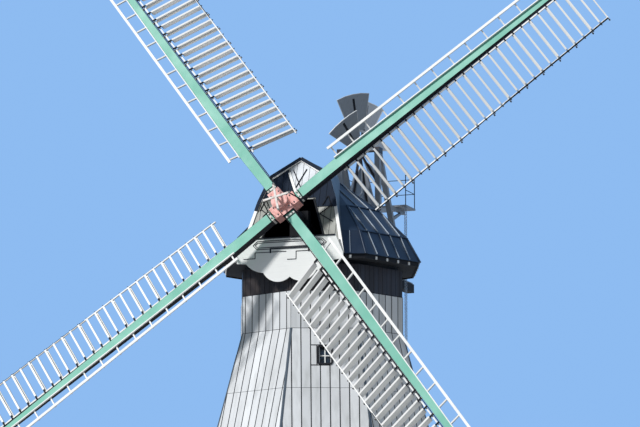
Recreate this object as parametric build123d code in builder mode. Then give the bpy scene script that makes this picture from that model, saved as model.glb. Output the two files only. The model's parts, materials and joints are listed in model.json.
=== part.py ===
"""Smock windmill with shuttered sails and a fantail, in millimetres.

The origin is on the ground at the tower's axis. +Z is up and the sails face -Y.
The tower is an octagon with corners towards the four row axes. The cap turns on it,
the sail wheel turns on an inclined shaft in the cap, and the fan turns at the cap's tail.
"""

from build123d import *
import math
import os

# Tower, by radius over the corners of the octagon
SIDES = 8
BASE_RADIUS = 4600
BASE_HEIGHT = 2400
BASE_WALL = 360
SILL_HEIGHT = 180
SILL_LIP = 30
SILL_DEPTH = 330
SMOCK_FOOT_RADIUS = 4560
COLLAR_RADIUS = 2660
COLLAR_FOOT = 9350
TOWER_TOP = 10500
WALL = 120
CORNER_BOARD = 45
CORNER_BOARD_DEPTH = 22

# Curb band and the rings that the cap turns on
BAND_RADIUS = 2640
BAND_HEIGHT = 830
BAND_WALL = 200
RING_OUTER = 2430
RING_INNER = 2120
RING_SEGMENTS = 32
CURB_RING_HEIGHT = 100
CAP_RING_HEIGHT = 130
CURB_GAP = 0.5

# Floors
FLOOR_THICK = 60
FLOOR_HEIGHTS = (40, 4450, 7420)

# Play between pieces that are seated on each other
SEAT_GAP = 0.3

# Windows and door
WINDOW_WIDTH = 480
WINDOW_HEIGHT = 640
WINDOW_CORNER = 90
CORNER_CUTS = 3
WINDOW_FRAME = 60
WINDOW_FRAME_DEPTH = 120
WINDOW_PROUD = 40
WINDOW_ROWS = (8490, 5500)
WINDOW_FACETS = (0, 2, 4, 6)
BASE_WINDOW_FACETS = (1, 5)
BASE_WINDOW_HEIGHT = 1500
GLAZING_BAR = 30
GLAZING_DEPTH = 35
PANE_THICK = 8
DOOR_FACET = 7
DOOR_WIDTH = 1000
DOOR_HEIGHT = 2000
DOOR_THICK = 50
DOOR_FRAME = 80
DOOR_FRAME_DEPTH = 110
DOOR_SET_BACK = 15
DOOR_GAP = 4
THRESHOLD = 100

# Cap roof, by radius over the corners and by the rise of each stage
EAVES_RADIUS = 3250
EAVES_RISE = 230
SKIRT_RADIUS = 2810
SKIRT_RISE = 775
BREAK_RADIUS = 1890
BREAK_RISE = 911
PEAK_RADIUS = 60
PEAK_RISE = 1354
ROOF_THICK = 60
FASCIA_DROP = 130
FASCIA_THICK = 40
SOFFIT_DROP = 100
SOFFIT_THICK = 40

# Front gable, which leans back; its heights are above the eaves
GABLE_FOOT_Y = -2670
GABLE_FOOT_RISE = 80
GABLE_LEAN = 16.5
GABLE_WALL = 60
GABLE_RISE = 3180
GABLE_SHAPE = ((1230, 740), (1520, 1680), (2020, 4300))
GABLE_FORM_FRONT = -3100
GABLE_FORM_BACK_SCALE = 0.45
BARGE_WIDTH = 90
BARGE_THICK = 50
OPENING_FOOT_HALF = 1050
OPENING_HEAD_HALF = 560
OPENING_BELOW_SHAFT = 980
OPENING_ABOVE_SHAFT = 360

# Front board under the gable; its heights are from the top of the band
BOARD_FRONT_Y = -2800
BOARD_THICK = 45
BOARD_TOP = 800
BOARD_TOP_HALF = 1470
BOARD_HALF = 1720
BOARD_WING_TOP = 230
BOARD_WING_BOTTOM = 40
BOARD_LOBE_BOTTOM = -570
BOARD_CUSP = -430
BOARD_LOBE_HALF = 860
BOARD_LOBE_SIDE = -270
BOARD_LOBE_MIDDLE = 410
BOARD_WING = 300
BOARD_WING_DROP = 20
BOARD_WING_HOLLOW = 70
STEP_BELOW = 330
STEP_OUT = 620
STEP_DROP = 150
MOULDING = 40
MOULDING_DEPTH = 25

# Cap frame
SHEER_SPACING = 1640
SHEER_WIDTH = 260
SHEER_DEPTH = 280
FRONT_BEAM_DEPTH = 200
TAIL_END_Y = 6200
SHAFT_BEAM = 320
NECK_DISTANCE = 1350
TAIL_DISTANCE = 4300
BEARING_LENGTH = 240
BEARING_WALL = 90
BEARING_GAP = 0.3

# Sail wheel
HUB_HEIGHT = 13000
HUB_REACH = 3200
SHAFT_TILT = 11.45
SAIL_PHASE = 37.9
SAIL_RADIUS = 11200
SHAFT_RADIUS = 210
SHAFT_LENGTH = 4700
SHAFT_FRONT = -330
STOCK_PLANES = (-100, 220)
STOCK_HALF_WIDTH = 145
STOCK_DEPTH = 290
STOCK_TIP_DEPTH = 130
WHIP_START = 2000
WHIP_LEAD = 200
WHIP_TRAIL = 125
TIP_LEAD = 110
TIP_TRAIL = 50
POLL_LENGTH = 900
POLL_WALL = 60
POLL_GAP = 0.3
POLL_NOSE_RADIUS = 260
POLL_NOSE_LENGTH = 110

# Sail frames, measured out from the shaft along the arm
FIRST_BAR = 2200
BAY = 640
BAYS = 14
BAR_THICK = 42
BAR_DEPTH = 60
BAR_LEAD_END = 560
BAR_TRAIL_END = 1640
HEM_OFFSET = 1570
HEM_WIDTH = 36
HEM_DEPTH = 55
HEM_BACK_INNER = 830
HEM_BACK_OUTER = 400
RAIL_STAND_OFF = 90
RAIL_WIDTH = 45
RAIL_DEPTH = 40
LEAD_OFFSET = 525
LEAD_WIDTH = 80
LEAD_DEPTH = 40
LATH_WIDTH = 30
LATH_DEPTH = 60
LATH_BOW = 6
FRAME_INNER = 2080
FRAME_OUTER = 11180

# Shutters, two to a bay
SHUTTER_CHORD = 290
SHUTTER_THICK = 20
SHUTTER_OPEN = 95
SHUTTER_OFFSETS = (45, 365)
SHUTTER_INSET = 60

# Striking gear: a cross in front of the poll end works a crank and a long bar on each arm
STRIKING_ROD_RADIUS = 35
CROSS_REACH = 420
CROSS_THICK = 40
CROSS_ARM = 60
CROSS_STAND_OFF = 260
CRANK_DISTANCE = 720
CRANK_INNER_ARM = 200
CRANK_RISE = 120
CRANK_THICK = 20
CRANK_PIN_RADIUS = 28
CRANK_END = 60
LINK_WIDTH = 35
LONG_BAR_STAND_OFF = 33
LONG_BAR_WIDTH = 24
LONG_BAR_DEPTH = 30
LONG_BAR_END = 10950
LEVER_WIDTH = 45
LEVER_DEPTH = 30

# Fan and its staging
FAN_Y = 3590
FAN_HEIGHT = 15850
FAN_PHASE = 22.5
FAN_RADIUS = 1900
FAN_BLADES = 8
FAN_BLADE_INNER = 700
FAN_BLADE_ROOT = 520
FAN_BLADE_TIP = 1150
FAN_BLADE_THICK = 18
FAN_TIP_ROUND = 80
FAN_PITCH = 45
FAN_HUB_RADIUS = 160
FAN_HUB_LENGTH = 300
FAN_SPOKE = 70
FAN_SHAFT_RADIUS = 40
FAN_POST = 170
FAN_POST_X = 640
FAN_REAR_FOOT_Y = 5950
FAN_FRONT_FOOT_Y = 3650
FAN_BEARING = 200
FAN_BEARING_GAP = 0.3
STAGE_HALF = 900
STAGE_FRONT_Y = 3380
STAGE_THICK = 50
PLATFORM_HEIGHT = 14260
PLATFORM_HALF = 1050
PLATFORM_FRONT_Y = 5130
PLATFORM_DEPTH = 950
BEARER_WIDTH = 90
BEARER_DEPTH = 120
BRACKET_DROP = 900
BRACKET_INSET = 230
TIE_HEIGHT = 13050
TIE_DEPTH = 110
RAIL_POST = 50
RAIL_HEIGHT = 1000
RAIL_BAR = 40
RAIL_BARS = 2
CHAIN_RADIUS = 12
CHAIN_LENGTH = 8800
CHAIN_SPACING = 150
CHAIN_INSET = 70

# Sizes that follow from the ones above
BAND_TOP = TOWER_TOP + BAND_HEIGHT
CURB_TOP = BAND_TOP + CURB_RING_HEIGHT
CAP_RING_FOOT = CURB_TOP + CURB_GAP
CAP_RING_TOP = CAP_RING_FOOT + CAP_RING_HEIGHT
SHEER_TOP = CAP_RING_TOP + SHEER_DEPTH
EAVES_HEIGHT = BAND_TOP + EAVES_RISE
SKIRT_TOP = EAVES_HEIGHT + SKIRT_RISE
BREAK_HEIGHT = SKIRT_TOP + BREAK_RISE
PEAK_HEIGHT = BREAK_HEIGHT + PEAK_RISE
GABLE_APEX = EAVES_HEIGHT + GABLE_RISE
SMOCK_FOOT = BASE_HEIGHT + SILL_HEIGHT
FACET_COS = math.cos(math.pi / SIDES)
FACET_STEP = 360 / SIDES
TILT = math.radians(SHAFT_TILT)

os.makedirs("parts", exist_ok=True)


def save(builder, name):
    """Label a finished piece and write it under its own name."""
    builder.part.label = name
    export_step(builder.part, f"parts/{name}.step")


def corner(radius, number):
    """The corner of the octagon with this number, as a point of its plan."""
    angle = math.radians(FACET_STEP * number)
    return (radius * math.cos(angle), radius * math.sin(angle))


def at_height(outline, height):
    """The points of a plan, raised to this height."""
    return [Vector(point[0], point[1], height) for point in outline]


def flat_sided(foot, head):
    """The solid between two outlines whose sides are parallel, with every face flat."""
    sides = zip(foot, foot[1:] + foot[:1], head[1:] + head[:1], head)
    faces = [Face(Wire.make_polygon(side)) for side in sides]
    faces += [Face(Wire.make_polygon(outline)) for outline in (foot, head)]
    return Solid(Shell(faces))


def smock_radius(height):
    """The tower's corner radius at this height on the tapered walls."""
    share = (height - SMOCK_FOOT) / (COLLAR_FOOT - SMOCK_FOOT)
    return SMOCK_FOOT_RADIUS + share * (COLLAR_RADIUS - SMOCK_FOOT_RADIUS)


def facet_plane(number, height, radius, lean=0.0):
    """A plane on the outside of a facet: X runs along it, Y up it and Z out of it."""
    angle = math.radians(FACET_STEP * (number + 0.5))
    out = Vector(math.cos(angle), math.sin(angle), 0)
    along = Vector(-math.sin(angle), math.cos(angle), 0)
    spot = out * radius * FACET_COS + Vector(0, 0, height)
    return Plane(origin=spot, x_dir=along, z_dir=out * math.cos(lean) + Vector(0, 0, math.sin(lean)))


SMOCK_LEAN = math.atan2((SMOCK_FOOT_RADIUS - COLLAR_RADIUS) * FACET_COS, COLLAR_FOOT - SMOCK_FOOT)


def octagon(radius):
    """Plan of the octagon with this corner radius."""
    return [corner(radius, number) for number in range(SIDES)]


def facet_outline(radius, thickness, number):
    """Plan of one wall of the octagon, mitred at both corners."""
    inner = radius - thickness / FACET_COS
    ends = (number, number + 1)
    return [corner(radius, end) for end in ends] + [corner(inner, end) for end in reversed(ends)]


def octagon_ring(radius, thickness):
    """Plan of a full ring of walls."""
    RegularPolygon(radius=radius, side_count=SIDES)
    RegularPolygon(radius=radius - thickness / FACET_COS, side_count=SIDES, mode=Mode.SUBTRACT)


def smock_window_planes(number):
    """Where this smock wall has its windows."""
    if number not in WINDOW_FACETS:
        return []
    return [facet_plane(number, height, smock_radius(height), SMOCK_LEAN) for height in WINDOW_ROWS]


def base_window_planes(number):
    """Where this base wall has its window."""
    if number not in BASE_WINDOW_FACETS:
        return []
    return [facet_plane(number, BASE_WINDOW_HEIGHT, BASE_RADIUS)]


def window_outline(margin=0.0, mode=Mode.ADD):
    """A window with rounded corners of short straight cuts, drawn larger or smaller by the margin."""
    radius = WINDOW_CORNER + margin
    middle = Vector(WINDOW_WIDTH / 2 + margin - radius, WINDOW_HEIGHT / 2 + margin - radius)
    outline = []
    for quarter, (across, up) in enumerate(((1, 1), (-1, 1), (-1, -1), (1, -1))):
        for step in range(CORNER_CUTS + 1):
            angle = math.radians(90 * (quarter + step / CORNER_CUTS))
            spot = (across * middle.X + radius * math.cos(angle), up * middle.Y + radius * math.sin(angle))
            outline.append(spot)
    Polygon(*outline, align=None, mode=mode)


# Base walls, with a doorway and two windows
def base_walls(numbers):
    with BuildPart() as walls:
        for number in numbers:
            with BuildSketch():
                Polygon(*facet_outline(BASE_RADIUS, BASE_WALL, number), align=None)
            extrude(amount=BASE_HEIGHT)
            for plane in base_window_planes(number):
                with BuildSketch(plane):
                    window_outline()
                extrude(amount=-BASE_WALL, mode=Mode.SUBTRACT)
        if DOOR_FACET in numbers:
            with BuildSketch(facet_plane(DOOR_FACET, THRESHOLD, BASE_RADIUS)):
                Rectangle(DOOR_WIDTH, DOOR_HEIGHT, align=(Align.CENTER, Align.MIN))
            extrude(amount=-BASE_WALL, mode=Mode.SUBTRACT)
    return walls


save(base_walls(range(0, SIDES, 2)), "base_walls_right_and_left")
save(base_walls(range(1, SIDES, 2)), "base_walls_front_and_back")

# Timber sill on top of the base
with BuildPart() as base_sill:
    with BuildSketch(Plane.XY.offset(BASE_HEIGHT)):
        octagon_ring(SMOCK_FOOT_RADIUS + SILL_LIP, SILL_DEPTH)
    extrude(amount=SILL_HEIGHT)
save(base_sill, "base_sill")


# Eight tapering smock walls
def smock_walls(numbers):
    with BuildPart() as walls:
        for number in numbers:
            foot = at_height(facet_outline(SMOCK_FOOT_RADIUS, WALL, number), SMOCK_FOOT)
            head = at_height(facet_outline(COLLAR_RADIUS, WALL, number), COLLAR_FOOT)
            add(flat_sided(foot, head))
            for plane in smock_window_planes(number):
                with BuildSketch(plane.offset(WALL)):
                    window_outline()
                extrude(amount=-3 * WALL, mode=Mode.SUBTRACT)
    return walls


save(smock_walls(range(0, SIDES, 2)), "smock_walls_with_windows")
save(smock_walls(range(1, SIDES, 2)), "smock_walls_plain")

# Straight collar on top of the smock
with BuildPart() as collar_walls:
    with BuildSketch(Plane.XY.offset(COLLAR_FOOT)):
        octagon_ring(COLLAR_RADIUS, WALL)
    extrude(amount=TOWER_TOP - COLLAR_FOOT)
save(collar_walls, "collar_walls")

# Dark boarded band under the cap
with BuildPart() as curb_band:
    with BuildSketch(Plane.XY.offset(TOWER_TOP)):
        octagon_ring(BAND_RADIUS, BAND_WALL)
    extrude(amount=BAND_HEIGHT)
save(curb_band, "curb_band")

# Track that the cap turns on
with BuildPart() as curb_ring:
    with BuildSketch(Plane.XY.offset(BAND_TOP)):
        RegularPolygon(radius=RING_OUTER, side_count=RING_SEGMENTS)
        RegularPolygon(radius=RING_INNER, side_count=RING_SEGMENTS, mode=Mode.SUBTRACT)
    extrude(amount=CURB_RING_HEIGHT)
save(curb_ring, "curb_ring")

# Boards down the corners of the smock, folded round each corner
def corner_board_outline(radius, number):
    """Plan of the boards on one corner, where its radius is this."""
    tip = Vector(*corner(radius, number))
    before = (Vector(*corner(radius, number - 1)) - tip).normalized() * CORNER_BOARD
    after = (Vector(*corner(radius, number + 1)) - tip).normalized() * CORNER_BOARD
    swell = tip.normalized() * (CORNER_BOARD_DEPTH / FACET_COS)
    outline = [tip, tip + before, tip + before + swell, tip + swell, tip + after + swell, tip + after]
    return [(point.X, point.Y) for point in outline]


with BuildPart() as corner_boards:
    for number in range(SIDES):
        foot = at_height(corner_board_outline(SMOCK_FOOT_RADIUS, number), SMOCK_FOOT)
        head = at_height(corner_board_outline(COLLAR_RADIUS, number), COLLAR_FOOT)
        add(flat_sided(foot, head))
save(corner_boards, "corner_boards")

# Window frames that stand proud, with crossed glazing bars and the panes behind them
ALL_WINDOWS = []
for number in range(SIDES):
    ALL_WINDOWS += smock_window_planes(number) + base_window_planes(number)

with BuildPart() as window_frames:
    for window in ALL_WINDOWS:
        with BuildSketch(window.offset(WINDOW_PROUD)):
            window_outline()
            window_outline(-WINDOW_FRAME, Mode.SUBTRACT)
        extrude(amount=-WINDOW_FRAME_DEPTH)
save(window_frames, "window_frames")

BEHIND_FRAME = WINDOW_PROUD - WINDOW_FRAME_DEPTH
with BuildPart() as glazing_bars:
    for window in ALL_WINDOWS:
        with BuildSketch(window.offset(BEHIND_FRAME)):
            Rectangle(GLAZING_BAR, WINDOW_HEIGHT - 2 * WINDOW_FRAME - 2 * SEAT_GAP)
            Rectangle(WINDOW_WIDTH - 2 * WINDOW_FRAME - 2 * SEAT_GAP, GLAZING_BAR)
        extrude(amount=GLAZING_DEPTH)
save(glazing_bars, "glazing_bars")

with BuildPart() as window_panes:
    for window in ALL_WINDOWS:
        with BuildSketch(window.offset(BEHIND_FRAME)):
            window_outline()
        extrude(amount=-PANE_THICK)
save(window_panes, "window_panes")

# Door in its frame, shut
DOORWAY = facet_plane(DOOR_FACET, THRESHOLD, BASE_RADIUS)
with BuildPart() as door_frame:
    with BuildSketch(DOORWAY.offset(-DOOR_SET_BACK)):
        Rectangle(DOOR_WIDTH, DOOR_HEIGHT, align=(Align.CENTER, Align.MIN))
        Rectangle(
            DOOR_WIDTH - 2 * DOOR_FRAME,
            DOOR_HEIGHT - DOOR_FRAME,
            align=(Align.CENTER, Align.MIN),
            mode=Mode.SUBTRACT,
        )
    extrude(amount=-DOOR_FRAME_DEPTH)
save(door_frame, "door_frame")

with BuildPart() as door:
    with BuildSketch(DOORWAY.offset(-DOOR_SET_BACK - DOOR_FRAME_DEPTH)):
        Rectangle(DOOR_WIDTH - 2 * DOOR_GAP, DOOR_HEIGHT - DOOR_GAP, align=(Align.CENTER, Align.MIN))
    extrude(amount=-DOOR_THICK)
save(door, "door")

# Floors, each seated against the walls around it
FLOOR_NAMES = ("ground_floor", "lower_floor", "upper_floor")
for floor_name, floor_top in zip(FLOOR_NAMES, FLOOR_HEIGHTS):
    outlines = []
    for height in (floor_top - min(FLOOR_THICK, floor_top), floor_top):
        inside = BASE_RADIUS - BASE_WALL / FACET_COS
        if height > BASE_HEIGHT:
            inside = smock_radius(height) - WALL / FACET_COS
        outlines.append(at_height(octagon(inside - SEAT_GAP), height))
    with BuildPart() as floor:
        add(flat_sided(*outlines))
    save(floor, floor_name)

# Ring under the cap
with BuildPart() as cap_ring:
    with BuildSketch(Plane.XY.offset(CAP_RING_FOOT)):
        RegularPolygon(radius=RING_OUTER, side_count=RING_SEGMENTS)
        RegularPolygon(radius=RING_INNER, side_count=RING_SEGMENTS, mode=Mode.SUBTRACT)
    extrude(amount=CAP_RING_HEIGHT)
save(cap_ring, "cap_ring")

# Two long timbers on the ring, out to the tail, and the cross timber at the front
FRONT_BEAM_BACK = BOARD_FRONT_Y + BOARD_THICK + FRONT_BEAM_DEPTH
with BuildPart() as sheer_beams:
    with BuildSketch(Plane.XY.offset(CAP_RING_TOP)):
        with Locations((-SHEER_SPACING / 2, FRONT_BEAM_BACK), (SHEER_SPACING / 2, FRONT_BEAM_BACK)):
            Rectangle(SHEER_WIDTH, TAIL_END_Y - FRONT_BEAM_BACK, align=(Align.CENTER, Align.MIN))
    extrude(amount=SHEER_DEPTH)
save(sheer_beams, "sheer_beams")

with BuildPart() as front_beam:
    with BuildSketch(Plane.XY.offset(CAP_RING_TOP)):
        with Locations((0, FRONT_BEAM_BACK)):
            Rectangle(2 * BOARD_TOP_HALF, FRONT_BEAM_DEPTH, align=(Align.CENTER, Align.MAX))
    extrude(amount=SHEER_DEPTH)
save(front_beam, "front_beam")


# Rings of the eight-sided roof, from the eaves up
ROOF_STAGES = (
    (EAVES_RADIUS, EAVES_HEIGHT),
    (SKIRT_RADIUS, SKIRT_TOP),
    (BREAK_RADIUS, BREAK_HEIGHT),
    (PEAK_RADIUS, PEAK_HEIGHT),
)
FAR = 3 * PEAK_HEIGHT


def roof_form(stage, inset=0.0):
    """The solid between one of the roof's rings and the next, drawn in by the inset."""
    foot, head = [
        at_height(octagon(max(radius - inset, PEAK_RADIUS / 2)), height)
        for radius, height in ROOF_STAGES[stage:stage + 2]
    ]
    return flat_sided(foot, head)


def gable_outline(share, inset):
    """Section of the gable roof; share is how much of its front size it has here."""
    top = GABLE_APEX - inset * 1.3
    right = [((half - inset) * share, top - drop * share) for half, drop in GABLE_SHAPE]
    left = [(-x, z) for x, z in reversed(right)]
    return [(0, top)] + right + left


def gable_form(inset=0.0):
    """The solid of the gable roof, drawn in by the inset; it shrinks towards the cap's middle."""
    front, back = [
        [Vector(x, y, z) for x, z in gable_outline(share, inset)]
        for y, share in ((GABLE_FORM_FRONT, 1.0), (0, GABLE_FORM_BACK_SCALE))
    ]
    return flat_sided(front, back)


def space_beyond(plane):
    """All the space on the side that the plane faces, as a block to cut with."""
    with BuildPart() as block:
        with BuildSketch(plane):
            Rectangle(FAR, FAR)
        extrude(amount=FAR)
    return block.part


def flipped(plane):
    """The same plane, facing the other way."""
    return Plane(origin=plane.origin, x_dir=plane.x_dir, z_dir=-plane.z_dir)


GABLE_PLANE = Plane(
    origin=(0, GABLE_FOOT_Y, EAVES_HEIGHT + GABLE_FOOT_RISE),
    x_dir=(1, 0, 0),
    z_dir=(0, -math.cos(math.radians(GABLE_LEAN)), math.sin(math.radians(GABLE_LEAN))),
)
GABLE_OUTSIDE = gable_form()
GABLE_INSIDE = gable_form(ROOF_THICK)
IN_FRONT_OF_GABLE = space_beyond(GABLE_PLANE)
BELOW_EAVES = space_beyond(flipped(Plane.XY.offset(EAVES_HEIGHT)))
BELOW_FRAME = space_beyond(flipped(Plane.XY.offset(SHEER_TOP)))


# Roof stages as shells, open where the gable roof runs in
def roof_shell(stage):
    with BuildPart() as shell:
        add(roof_form(stage))
        add([roof_form(stage, ROOF_THICK), GABLE_INSIDE, IN_FRONT_OF_GABLE], mode=Mode.SUBTRACT)
        if stage == 0:
            with BuildSketch(Plane.XY.offset(EAVES_HEIGHT)):
                with Locations((-SHEER_SPACING / 2, 0), (SHEER_SPACING / 2, 0)):
                    Rectangle(SHEER_WIDTH + 2 * SEAT_GAP, FAR, align=(Align.CENTER, Align.MIN))
            extrude(amount=SHEER_TOP - EAVES_HEIGHT + SEAT_GAP, mode=Mode.SUBTRACT)
    return shell


for stage, roof_name in enumerate(("roof_skirt", "roof_middle", "roof_top")):
    save(roof_shell(stage), roof_name)

# Gable roof that runs from the front into the eight-sided roof
with BuildPart() as gable_roof:
    add(GABLE_OUTSIDE)
    add([GABLE_INSIDE, IN_FRONT_OF_GABLE, BELOW_EAVES], mode=Mode.SUBTRACT)
    add([roof_form(0), roof_form(1), roof_form(2)], mode=Mode.SUBTRACT)
save(gable_roof, "gable_roof")

# Leaning gable wall with the opening for the windshaft
with BuildPart() as gable_wall:
    add(GABLE_INSIDE)
    add([IN_FRONT_OF_GABLE, space_beyond(flipped(GABLE_PLANE.offset(-GABLE_WALL)))], mode=Mode.SUBTRACT)
    add(BELOW_FRAME, mode=Mode.SUBTRACT)
    with BuildSketch(Plane.XZ):
        Polygon(
            (-OPENING_FOOT_HALF, HUB_HEIGHT - OPENING_BELOW_SHAFT),
            (OPENING_FOOT_HALF, HUB_HEIGHT - OPENING_BELOW_SHAFT),
            (OPENING_HEAD_HALF, HUB_HEIGHT + OPENING_ABOVE_SHAFT),
            (-OPENING_HEAD_HALF, HUB_HEIGHT + OPENING_ABOVE_SHAFT),
            align=None,
        )
    extrude(amount=FAR, both=True, mode=Mode.SUBTRACT)
save(gable_wall, "gable_wall")

# Barge boards along both edges of the gable
with BuildPart() as barge_boards:
    add(GABLE_OUTSIDE)
    add([gable_form(BARGE_WIDTH), BELOW_EAVES], mode=Mode.SUBTRACT)
    add([space_beyond(GABLE_PLANE.offset(BARGE_THICK)), space_beyond(flipped(GABLE_PLANE))], mode=Mode.SUBTRACT)
save(barge_boards, "barge_boards")

# White front board with a scalloped lower edge, drawn as one half and mirrored
BOARD_PLANE = Plane(origin=(0, BOARD_FRONT_Y, BAND_TOP), x_dir=(1, 0, 0), z_dir=(0, -1, 0))
with BuildPart() as front_board:
    with BuildSketch(BOARD_PLANE):
        with BuildLine():
            half = Polyline(
                (0, BOARD_TOP),
                (BOARD_TOP_HALF, BOARD_TOP),
                (BOARD_HALF, BOARD_WING_TOP),
                (BOARD_HALF, BOARD_WING_BOTTOM),
                (BOARD_HALF - BOARD_WING, BOARD_WING_BOTTOM - BOARD_WING_DROP),
            )
            wing = SagittaArc(half @ 1, (BOARD_LOBE_HALF, BOARD_LOBE_SIDE), BOARD_WING_HOLLOW)
            lobe = ThreePointArc(wing @ 1, (BOARD_LOBE_MIDDLE, BOARD_LOBE_BOTTOM), (0, BOARD_CUSP))
            Line(lobe @ 1, half @ 0)
        make_face()
        mirror(about=Plane.YZ)
    extrude(amount=-BOARD_THICK)
save(front_board, "front_board")

# Mouldings on the board: a rail along the top and a stepped line below it
with BuildPart() as board_mouldings:
    with BuildSketch(BOARD_PLANE):
        with Locations((0, BOARD_TOP)):
            Rectangle(2 * BOARD_TOP_HALF, MOULDING, align=(Align.CENTER, Align.MAX))
        with Locations((0, BOARD_TOP - STEP_BELOW)):
            Rectangle(2 * STEP_OUT, MOULDING, align=(Align.CENTER, Align.MAX))
        with Locations((-STEP_OUT, BOARD_TOP - STEP_BELOW), (STEP_OUT, BOARD_TOP - STEP_BELOW)):
            Rectangle(MOULDING, STEP_DROP, align=(Align.CENTER, Align.MAX))
    extrude(amount=MOULDING_DEPTH)
save(board_mouldings, "board_mouldings")

# Eaves: a soffit out from the ring and a fascia round its edge
BEYOND_BOARD = space_beyond(BOARD_PLANE.offset(-BOARD_THICK))
FASCIA_RADIUS = EAVES_RADIUS - ROOF_THICK
with BuildPart() as eaves_soffit:
    with BuildSketch(Plane.XY.offset(EAVES_HEIGHT - SOFFIT_DROP)):
        RegularPolygon(radius=FASCIA_RADIUS - FASCIA_THICK / FACET_COS, side_count=SIDES)
        Circle(RING_OUTER, mode=Mode.SUBTRACT)
    extrude(amount=SOFFIT_THICK)
    add(BEYOND_BOARD, mode=Mode.SUBTRACT)
save(eaves_soffit, "eaves_soffit")

with BuildPart() as eaves_fascia:
    with BuildSketch(Plane.XY.offset(EAVES_HEIGHT)):
        octagon_ring(FASCIA_RADIUS, FASCIA_THICK)
    extrude(amount=-FASCIA_DROP)
    add(BEYOND_BOARD, mode=Mode.SUBTRACT)
save(eaves_fascia, "eaves_fascia")

# Sail wheel's frame of reference: X and Y lie in the wheel's plane and Z points forward
WHEEL = Plane(
    origin=(0, -HUB_REACH, HUB_HEIGHT),
    x_dir=(1, 0, 0),
    z_dir=(0, -math.cos(TILT), math.sin(TILT)),
)


# Bearings of the shaft: a block at the neck on a cross beam, and one at the tail
SHAFT_SPOTS = [WHEEL.origin - WHEEL.z_dir * distance for distance in (NECK_DISTANCE, TAIL_DISTANCE)]
BEARING_WIDTH = 2 * (SHAFT_RADIUS + BEARING_WALL)
with BuildPart() as shaft_beams:
    with BuildSketch(Plane.XY.offset(CAP_RING_TOP)):
        for spot in SHAFT_SPOTS:
            with Locations((0, spot.Y)):
                Rectangle(SHEER_SPACING - SHEER_WIDTH, SHAFT_BEAM)
    extrude(amount=SHEER_DEPTH)
save(shaft_beams, "shaft_beams")

with BuildPart() as shaft_bearings:
    for spot in SHAFT_SPOTS:
        with BuildSketch(Plane.XY.offset(SHEER_TOP)):
            with Locations((0, spot.Y)):
                Rectangle(BEARING_WIDTH, BEARING_LENGTH)
        extrude(amount=spot.Z + SHAFT_RADIUS + BEARING_WALL - SHEER_TOP)
    with BuildSketch(WHEEL):
        Circle(SHAFT_RADIUS + BEARING_GAP)
    extrude(amount=-2 * SHAFT_LENGTH, mode=Mode.SUBTRACT)
save(shaft_bearings, "shaft_bearings")

# Windshaft
with BuildPart() as windshaft:
    with BuildSketch(WHEEL.offset(SHAFT_FRONT)):
        Circle(SHAFT_RADIUS)
    extrude(amount=-SHAFT_LENGTH)
save(windshaft, "windshaft")


def turned(plane, degrees):
    """The same plane, turned about its own normal."""
    angle = math.radians(degrees)
    x_dir = plane.x_dir * math.cos(angle) + plane.y_dir * math.sin(angle)
    return Plane(origin=plane.origin, x_dir=x_dir, z_dir=plane.z_dir)


def tipped(plane, degrees):
    """The same plane, tipped about its own X."""
    angle = math.radians(degrees)
    z_dir = plane.z_dir * math.cos(angle) + plane.y_dir * math.sin(angle)
    return Plane(origin=plane.origin, x_dir=plane.x_dir, z_dir=z_dir)


def arm_plane(number, forward=0.0):
    """Frame of an arm: X runs out along it, Y towards its leading side and Z forward."""
    return turned(WHEEL, SAIL_PHASE + 90 * number).offset(forward)


def sail_plane(number):
    """Frame of an arm at its own stock: arms 1 and 3 share the rear one, 2 and 4 the front one."""
    return arm_plane(number, STOCK_PLANES[number % 2])


def weather(distance):
    """Slope of the sail bars here: how far they fall back for each unit across the sail."""
    share = (distance - FRAME_INNER) / (FRAME_OUTER - FRAME_INNER)
    return (HEM_BACK_INNER + share * (HEM_BACK_OUTER - HEM_BACK_INNER)) / HEM_OFFSET


def across_bar(arm, distance, lateral):
    """A plane across a sail bar where it passes this line along the sail."""
    spot = arm.from_local_coords(Vector(distance, lateral, lateral * weather(distance)))
    return Plane(origin=spot, x_dir=arm.x_dir, z_dir=-arm.y_dir)


def along_bar(arm, distance):
    """Direction of a sail bar here, towards its trailing end; its run across the sail is 1."""
    return -arm.y_dir - arm.z_dir * weather(distance)


BAR_DISTANCES = [FIRST_BAR + BAY * number for number in range(BAYS + 1)]


def sail_bar(arm, distance):
    """One bar through the stock, from beyond the ladder to beyond the hem."""
    run = along_bar(arm, distance)
    with BuildPart() as bar:
        with BuildSketch(across_bar(arm, distance, BAR_LEAD_END)):
            Rectangle(BAR_THICK, BAR_DEPTH)
        extrude(amount=(BAR_LEAD_END + BAR_TRAIL_END) * run.length, dir=run.normalized())
    return bar.part


def lath(arm, lateral, width, depth, forward=0.0, ends=(FRAME_INNER, FRAME_OUTER)):
    """A long batten along the sail; lateral gives its line at each distance from the shaft."""
    foot, head = [
        arm.from_local_coords(Vector(distance, lateral(distance), lateral(distance) * weather(distance) + forward))
        for distance in ends
    ]
    run = head - foot
    with BuildPart() as batten:
        with BuildSketch(Plane(origin=foot, x_dir=arm.y_dir, z_dir=arm.x_dir)):
            Rectangle(width, depth)
        extrude(amount=run.length, dir=run.normalized())
    return batten.part


# Widths of an arm to its leading and trailing sides, and its depth, from the shaft outwards
STOCK_SECTIONS = (
    (0, STOCK_HALF_WIDTH, STOCK_HALF_WIDTH, STOCK_DEPTH),
    (POLL_LENGTH / 2, STOCK_HALF_WIDTH, STOCK_HALF_WIDTH, STOCK_DEPTH),
    (WHIP_START, WHIP_LEAD, WHIP_TRAIL, STOCK_DEPTH),
    (SAIL_RADIUS, TIP_LEAD, TIP_TRAIL, STOCK_TIP_DEPTH),
)


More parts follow.
